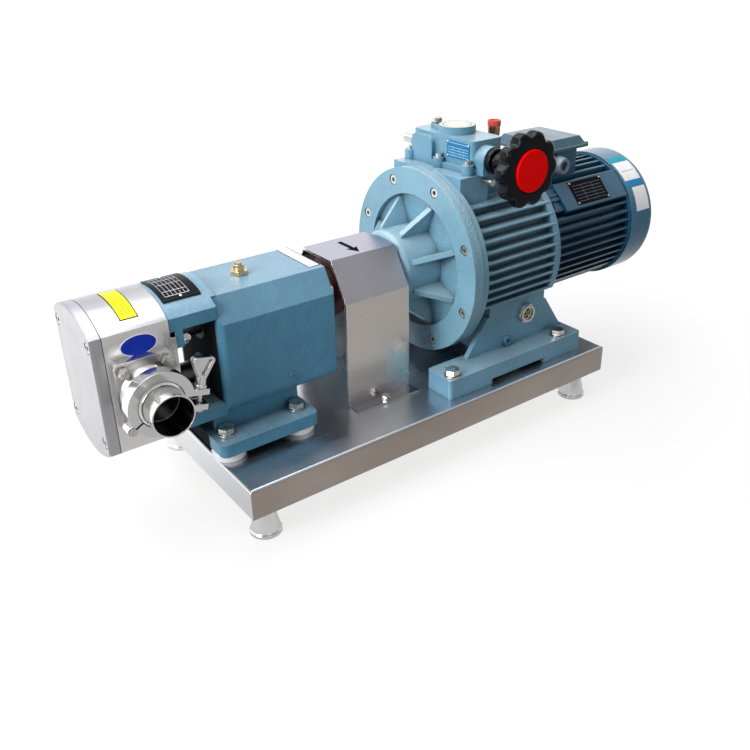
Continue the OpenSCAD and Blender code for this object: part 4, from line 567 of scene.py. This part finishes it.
bare_iron = enamel("bare casting", (0.10, 0.10, 0.105), 0.6)
dress(bare_iron, "pressure_rings")
dress(turned, "output_shaft", "planet_discs", "sun_discs")


# Front ends of the barrel's fins, cast in one with them: each fin curls upwards and grows thinner
# where it runs out over the shoulder behind the output cover.

shaft_low, shaft_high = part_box("drive_shaft")
shaft_z = (shaft_low.z + shaft_high.z) / 2
barrel_r, fin_r = 0.111, 0.127
fin_t, fin_pitch, fin_rows, top_fin = 0.0045, 0.0142, 11, 0.092
fin_x, fin_length, fin_curl = 0.0815, 0.0205, 0.0072


def fin_end(side, height):
    """Front end of a fin: a bar a hair thinner than the fin, whose middle line rises with the square
    of the way forward, drawn out along Y from the barrel to the fin's edge, crest rounded."""
    way = np.linspace(0, 1, 9)[:, None]
    root = math.sqrt(barrel_r ** 2 - height ** 2) - 0.004
    tip = math.sqrt(fin_r ** 2 - height ** 2)
    reach = np.array([root, tip - 0.0016, tip - 0.0004, tip - 0.0004, tip - 0.0016, root]) - 0.0012 * way
    half = 0.98 * fin_t / 2 * (1 - 0.25 * way) * np.array([1, 1, 0.5, -0.5, -1, -1])
    rings = np.stack(np.broadcast_arrays(fin_x - fin_length * way, side * reach,
                                         shaft_z + height + fin_curl * way ** 2 + half), axis=-1)
    return loft("fin_end", rings if side < 0 else rings[:, ::-1], variator_paint, "frame", "variator_paint")


joined("fin_ends", [fin_end(side, top_fin - row * fin_pitch) for side in (-1, 1) for row in range(fin_rows)])


# Oil sight glass: a zinc plated hexagon ring pressed around a dark window, with a white ring painted
# round the glass as a reflection, and a brass cross that marks the level.

dress(zinc, "sight_glass")
glass_low, glass_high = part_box("sight_glass")
glass_mid = (glass_low + glass_high) / 2
window_at = (glass_mid.x, glass_low.y + 0.005, glass_mid.z)
window_face = facing(window_at, (1, 0, 0), (0, 0, 1))
dark_glass = finish("oily window", (0.012, 0.016, 0.012), 0.0, 0.05)
into(dark_glass, "Roughness", mottled(dark_glass, 90, 0.03, 0.10, 2))
cross_yellow = print_ink("brass yellow cross", (0.55, 0.47, 0.10))
# Painted reflection: a white ring round the window.
disc("window_painted_reflection", window_face, (0, 0), (0.0099, 0.0099), 0.0006, white_ink, "white_plastic")
disc("window", window_face, (0, 0), (0.0082, 0.0082), 0.0010, dark_glass, "black_plastic", dome=0.0006)
arms = []
for turn in np.radians((38.0, 128.0)):
    arm = facing(window_at, (math.cos(turn), 0, math.sin(turn)), (-math.sin(turn), 0, math.cos(turn)))
    arms.append(panel("arm", arm, (-0.0072, 0.0072), (-0.0009, 0.0009), 0.0021, cross_yellow, "brass"))
joined("window_cross", arms)


# Handwheel: black resin moulded round a steel adjusting screw, its rim scalloped for the fingers, with
# a red cap pressed into the face.

def rounded(points, times=3):
    """Cuts the corners of an open line again and again, so that it turns smoothly, ends kept."""
    line = np.asarray(points, float)
    for _ in range(times):
        first, second = line[:-1], line[1:]
        cut = np.stack([0.8 * first + 0.2 * second, 0.2 * first + 0.8 * second], axis=1).reshape(-1, 2)
        line = np.concatenate([line[:1], cut, line[-1:]])
    return line


black_resin = finish("black resin", (0.002, 0.003, 0.006), 0.0, 0.2, Specular_IOR_Level=0.16)
into(black_resin, "Roughness", mottled(black_resin, 60, 0.16, 0.28))
soften(black_resin, 0.0012, noise(black_resin, 80, 2), 0.0001)
red_resin = finish("red moulded cap", (1.0, 0.002, 0.003), 0.0, 0.42, Specular_IOR_Level=0.06)
soften(red_resin, 0.0006, noise(red_resin, 120, 2), 0.0001)
dress(red_resin, "handwheel_cap")
dress(turned, "adjusting_screw")

screw_low, screw_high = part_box("adjusting_screw")
wheel_low, wheel_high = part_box("handwheel")
screw_mid = (screw_low + screw_high) / 2
wheel_r = (wheel_high.z - wheel_low.z) / 2
rim_half = 0.009
rim_y = wheel_low.y + rim_half
hub_back = rim_y - wheel_high.y
bore, web_r = 0.0061, 0.034
lobes, scallop = 10, 0.0070


def hand_grip():
    """Profile turned about the screw (radius, distance outward). Towards the rim the radius sinks
    between the lobes by scallop times a rounded wave of the angle."""
    line = rounded([(0.0004, -0.003), (bore, -0.003), (bore, hub_back), (0.018, hub_back),
                    (0.018, hub_back + 0.009), (0.011, hub_back + 0.0095), (0.0105, -0.022),
                    (0.016, -0.009), (0.032, -0.005), (0.037, -0.011), (0.046, -0.012), (wheel_r, -0.009),
                    (wheel_r, rim_half - 0.004), (wheel_r - 0.005, rim_half), (0.0305, rim_half),
                    (0.0293, rim_half - 0.001), (0.0291, 0.0061), (0.0004, 0.0061)])
    turn = np.linspace(0, 2 * np.pi, 320, endpoint=False)
    wave = ((1 - np.cos(lobes * turn)) / 2) ** 1.6
    radius, outward = line[:, :1], line[:, 1:]
    share = np.clip((radius - web_r) / (wheel_r - web_r), 0, 1) ** 1.5
    reach = radius - scallop * share * wave
    return np.stack(np.broadcast_arrays(screw_mid.x + reach * np.cos(turn), rim_y - outward,
                                        screw_mid.z + reach * np.sin(turn)), axis=-1)


grip = loft("hand_grip", hand_grip(), black_resin, "speed_wheel", "black_plastic")
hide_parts("handwheel")


# Speed dial on the control box: a black pointer under a lens of cream plastic, which is printed with
# thirty marks, every fifth one longer, round a white centre.

dress(black_resin, "dial_pointer")
dial_resin = finish("cream dial lens", (0.70, 0.68, 0.50), 0.0, 0.14)
into(dial_resin, "Roughness", mottled(dial_resin, 50, 0.10, 0.22))
soften(dial_resin, 0.0006)
dress(dial_resin, "dial_glass")

lens_low, lens_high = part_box("dial_glass")
lens_mid = (lens_low + lens_high) / 2
lens_at = (lens_mid.x, lens_mid.y, lens_high.z)
tick_end = (lens_high.x - lens_low.x) / 2 - 0.0030
ticks = []
for step in range(30):
    turn = 2 * math.pi * step / 30
    length = 0.0042 if step % 5 == 0 else 0.0024
    ray = facing(lens_at, (math.cos(turn), math.sin(turn), 0), (-math.sin(turn), math.cos(turn), 0))
    ticks.append(panel("tick", ray, (tick_end - length, tick_end), (-0.00035, 0.00035), 0.0002, black_ink,
                       "dial_plastic"))
joined("dial_ticks", ticks)
disc("dial_centre", facing(lens_at, (1, 0, 0), (0, 1, 0)), (0, 0), (0.0090, 0.0090), 0.0003, white_ink,
     "dial_plastic")


# Type plate on the front of the control box: blue printed aluminium with pale ruled lines, held by
# four small rivets.

def corners(u, v, inset):
    """The corners of a plate over the ranges u and v, moved in by inset from each side."""
    return [(along, up) for along in (u[0] + inset, u[1] - inset) for up in (v[0] + inset, v[1] - inset)]


plate_blue = print_ink("blue printed aluminium", (0.015, 0.165, 0.350), 0.3)
pale_line = print_ink("pale print on blue", (0.45, 0.62, 0.74), 0.3)
control_box_length = 0.056
box_face = facing((lens_mid.x - control_box_length / 2, 0, 0), (0, -1, 0), (0, 0, 1))
plate_u, plate_v = (0.0116, 0.0590), (0.4000, 0.4235)
plate_rows = [((plate_u[0] + 0.003, plate_u[1] - 0.003), (plate_v[0] + up, plate_v[0] + up + 0.0006))
              for up in (0.0028, 0.0066, 0.0104, 0.0142, 0.0205)]
plate_columns = [((plate_u[0] + along, plate_u[0] + along + 0.0006),
                  (plate_v[0] + 0.0036, plate_v[0] + 0.0140))
                 for along in (0.0130, 0.0260, 0.0350)]
panel("box_plate", box_face, plate_u, plate_v, 0.0008, plate_blue, "zinc_steel")
joined("box_plate_lines", bars(box_face, plate_rows + plate_columns, 0.0010, pale_line, "zinc_steel"))
rivets("box_plate_rivets", box_face, corners(plate_u, plate_v, 0.0017), (0.0012, 0.0012), 0.0014, 0.0005)


# Motor: a finned aluminium frame and a pressed steel fan cowl, both sprayed in a dark blue enamel.
# The terminal box's lid is in a greyer blue, and its cable gland is moulded in polyamide.

motor_paint = enamel("dark motor enamel", (0.006, 0.092, 0.180), 0.32, top_sheen=0.08)
dress(motor_paint, "motor_frame", "terminal_box")
cowl_paint = enamel("dark cowl enamel", (0.030, 0.160, 0.275), 0.24, lump=0.0002, top_sheen=0.10)
dress(cowl_paint, "fan_cowl")
lid_paint = enamel("terminal lid enamel", (0.040, 0.110, 0.160), 0.30, lump=0.0002, top_sheen=0.05)
dress(lid_paint, "terminal_lid")
gland_plastic = finish("gland polyamide", (0.17, 0.24, 0.30), 0.0, 0.4)
soften(gland_plastic, 0.0006)
dress(gland_plastic, "cable_gland")
dress(bare_iron, "stator_core")
dress(turned, "motor_rotor")
dress(black_resin, "motor_fan")


# Motor plate: black enamelled sheet with dim ruled lines, riveted at its corners to a painted boss
# that is cast between the fins.

boss_turn = math.radians(137)
boss_normal = np.array([0, math.cos(boss_turn), math.sin(boss_turn)])
boss_up = np.array([0, math.sin(boss_turn), -math.cos(boss_turn)])
boss_r, boss_root, boss_height, boss_edge = 0.097, 0.004, 0.0058, 0.001
boss_foot = facing(np.array([0, 0, shaft_z]) + boss_r * boss_normal, (1, 0, 0), boss_up)
boss_level = np.array([[-boss_root], [boss_height - boss_edge], [boss_height]])
boss_inset = np.array([[0], [0], [boss_edge]])
boss_u = np.array([0.262, 0.404, 0.404, 0.262]) + boss_inset * [1, -1, -1, 1]
boss_v = np.array([-0.0245, -0.0245, 0.0240, 0.0240]) + boss_inset * [1, 1, -1, -1]
loft("motor_plate_boss", boss_foot(*np.broadcast_arrays(boss_u, boss_v, boss_level)), motor_paint, "frame",
     "motor_paint", smooth=False)

dim_line = finish("dim etched lines", (0.16, 0.19, 0.22), 0.3, 0.4)
into(dim_line, "Roughness", mottled(dim_line, 80, 0.3, 0.5, 2))
boss_face = facing(np.array([0, 0, shaft_z]) + (boss_r + boss_height) * boss_normal, (1, 0, 0), boss_up)
tag_u, tag_v = (0.290, 0.363), (-0.0197, 0.0200)
tag_rows = [((tag_u[0] + 0.005, tag_u[1] - 0.005), (up, up + 0.0007))
            for up in np.linspace(-0.0150, 0.0120, 6)]
tag_columns = [((along, along + 0.0007), (-0.0143, 0.0120)) for along in (0.3150, 0.3380)]
panel("motor_plate", boss_face, tag_u, tag_v, 0.0008, black_enamel, "black_plastic")
joined("motor_plate_lines", bars(boss_face, tag_rows + tag_columns, 0.0010, dim_line, "black_plastic"))
rivets("motor_plate_rivets", boss_face, corners(tag_u, tag_v, 0.0026), (0.0016, 0.0016), 0.0014, 0.0006)


# Stickers on the fan cowl: a printed one in turquoise, white and blue, and a bare white square. Both
# are plastic film that follows the round of the cowl.

cowl_low, cowl_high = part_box("fan_cowl")
cowl_skin = wrapped(0, shaft_z, (cowl_high.z - cowl_low.z) / 2)
turquoise_ink = print_ink("turquoise print", (0.02, 0.33, 0.45))
sky_ink = print_ink("blue print", (0.02, 0.24, 0.50))
grey_ink = print_ink("grey print", (0.30, 0.31, 0.33))


def sticker(name, u, degrees, mat, height=0.0003):
    """Film on the cowl over the range u along X, between two angles from +Y."""
    return panel(name, cowl_skin, u, np.radians(degrees), height, mat, "white_plastic", 16)


sticker("sticker_top", (0.412, 0.450), (117, 109), turquoise_ink)
sticker("sticker_middle", (0.412, 0.450), (138, 117.2), white_ink)
sticker("sticker_line", (0.416, 0.446), (128.6, 128.0), grey_ink, 0.0004)
sticker("sticker_foot", (0.412, 0.450), (144, 138.2), sky_ink)
sticker("bare_sticker", (0.4205, 0.4510), (167, 145), white_ink)


# Studio: a pale floor that runs up behind the unit, three soft boxes and a white room. The camera
# sees floor and room white; metal mirrors them darker at the front and brighter at the back.

def studio_sweep():
    """Floor and backdrop in one grid: flat, then a quarter circle, then upright, along a line in X."""
    turn, far = 1.2, 3.2
    lead = np.linspace(-7.0, far, 30)
    arc = np.linspace(0, np.pi / 2, 24)[1:]
    y = np.concatenate([lead, far + turn * np.sin(arc), [far + turn]])
    z = np.concatenate([0 * lead, turn - turn * np.cos(arc), [6.0]])
    x = np.linspace(-9, 9, 20)
    grid = np.stack(np.broadcast_arrays(x[None, :], y[:, None], z[:, None]), axis=-1)
    rows, cols = grid.shape[:2]
    at = np.arange(rows * cols).reshape(rows, cols)
    faces = np.stack([at[:-1, :-1], at[:-1, 1:], at[1:, 1:], at[1:, :-1]], axis=-1).reshape(-1, 4)
    mesh = bpy.data.meshes.new("studio_floor")
    mesh.from_pydata(grid.reshape(-1, 3).tolist(), [], faces.tolist())
    mesh.polygons.foreach_set("use_smooth", [True] * len(mesh.polygons))
    return mesh


def seen_white(mat, diffuse_share, mirrored):
    """Strength of 1 for camera rays, mirrored for rays off or through a piece, else diffuse_share."""
    path = add(mat, "ShaderNodeLightPath").outputs
    off_piece = combined(mat, "MAXIMUM", path["Is Glossy Ray"], path["Is Transmission Ray"])
    level = combined(mat, "MAXIMUM", path["Is Camera Ray"], combined(mat, "MULTIPLY", off_piece, mirrored))
    return combined(mat, "MAXIMUM", level, diffuse_share)


floor_paint = finish("studio floor", (0.19, 0.19, 0.19), 0.0, 0.7, Specular_IOR_Level=0.0,
                     Emission_Color=(1, 1, 1, 1))
ground = add(floor_paint, "ShaderNodeTexCoord").outputs["Object"]
away = add(floor_paint, "ShaderNodeVectorMath", {0: ground}, operation="LENGTH").outputs["Value"]
glow = spread(floor_paint, away, 0.78, 1.0, 0.40, 1.6)
shine = spread(floor_paint, coordinate(floor_paint, "Y"), 0.28, 1.30, -0.35, 0.30)
into(floor_paint, "Emission Strength", combined(floor_paint, "MULTIPLY", glow,
                                                seen_white(floor_paint, 0.0, shine)))
floor = bpy.data.objects.new("studio_floor", studio_sweep())
floor.data.materials.append(floor_paint)
bpy.context.scene.collection.objects.link(floor)


def soft_box(name, place, size, power):
    """A square lamp at a place, turned towards the unit."""
    data = bpy.data.lights.new(name, "AREA")
    data.shape, data.size, data.energy = "SQUARE", size, power
    lamp = bpy.data.objects.new(name, data)
    lamp.location = place
    lamp.rotation_euler = (Vector((0, 0, 0.2)) - Vector(place)).to_track_quat("-Z", "Y").to_euler()
    bpy.context.scene.collection.objects.link(lamp)


soft_box("overhead box", (-0.6, 0.6, 2.4), 2.5, 70)
soft_box("front box", (-2.7, -0.5, 1.5), 1.4, 70)
soft_box("fill box", (-0.5, -2.7, 0.9), 1.2, 8)

world = bpy.data.worlds.new("studio")
bpy.context.scene.world = world
world.use_nodes = True
outlook = add(world, "ShaderNodeTexCoord").outputs["Generated"]
outlook_y = add(world, "ShaderNodeSeparateXYZ", {"Vector": outlook}).outputs["Y"]
room = spread(world, outlook_y, 0.35, 1.20, -0.6, 0.3)
backdrop = world.node_tree.nodes["Background"]
backdrop.inputs["Color"].default_value = (1, 1, 1, 1)
world.node_tree.links.new(seen_white(world, 0.22, room), backdrop.inputs["Strength"])

view_point = Vector((-0.6919, -0.9146, 0.6869))
looks_at = Vector((-0.0220, 0.0, 0.1292))
roll = math.radians(-1.0)
forward = (looks_at - view_point).normalized()
level = forward.cross(Vector((0, 0, 1))).normalized()
upright = level.cross(forward)
right = level * math.cos(roll) + upright * math.sin(roll)
up = upright * math.cos(roll) - level * math.sin(roll)
camera = bpy.data.objects.new("camera", bpy.data.cameras.new("camera"))
camera.matrix_world = Matrix((right, up, -forward)).transposed().to_4x4()
camera.location = view_point
camera.data.lens, camera.data.sensor_width = 40.05, 36.0
camera.data.shift_x, camera.data.shift_y = -0.0119, -0.0416
bpy.context.scene.collection.objects.link(camera)
bpy.context.scene.camera = camera
bpy.context.scene.view_settings.view_transform = "Standard"
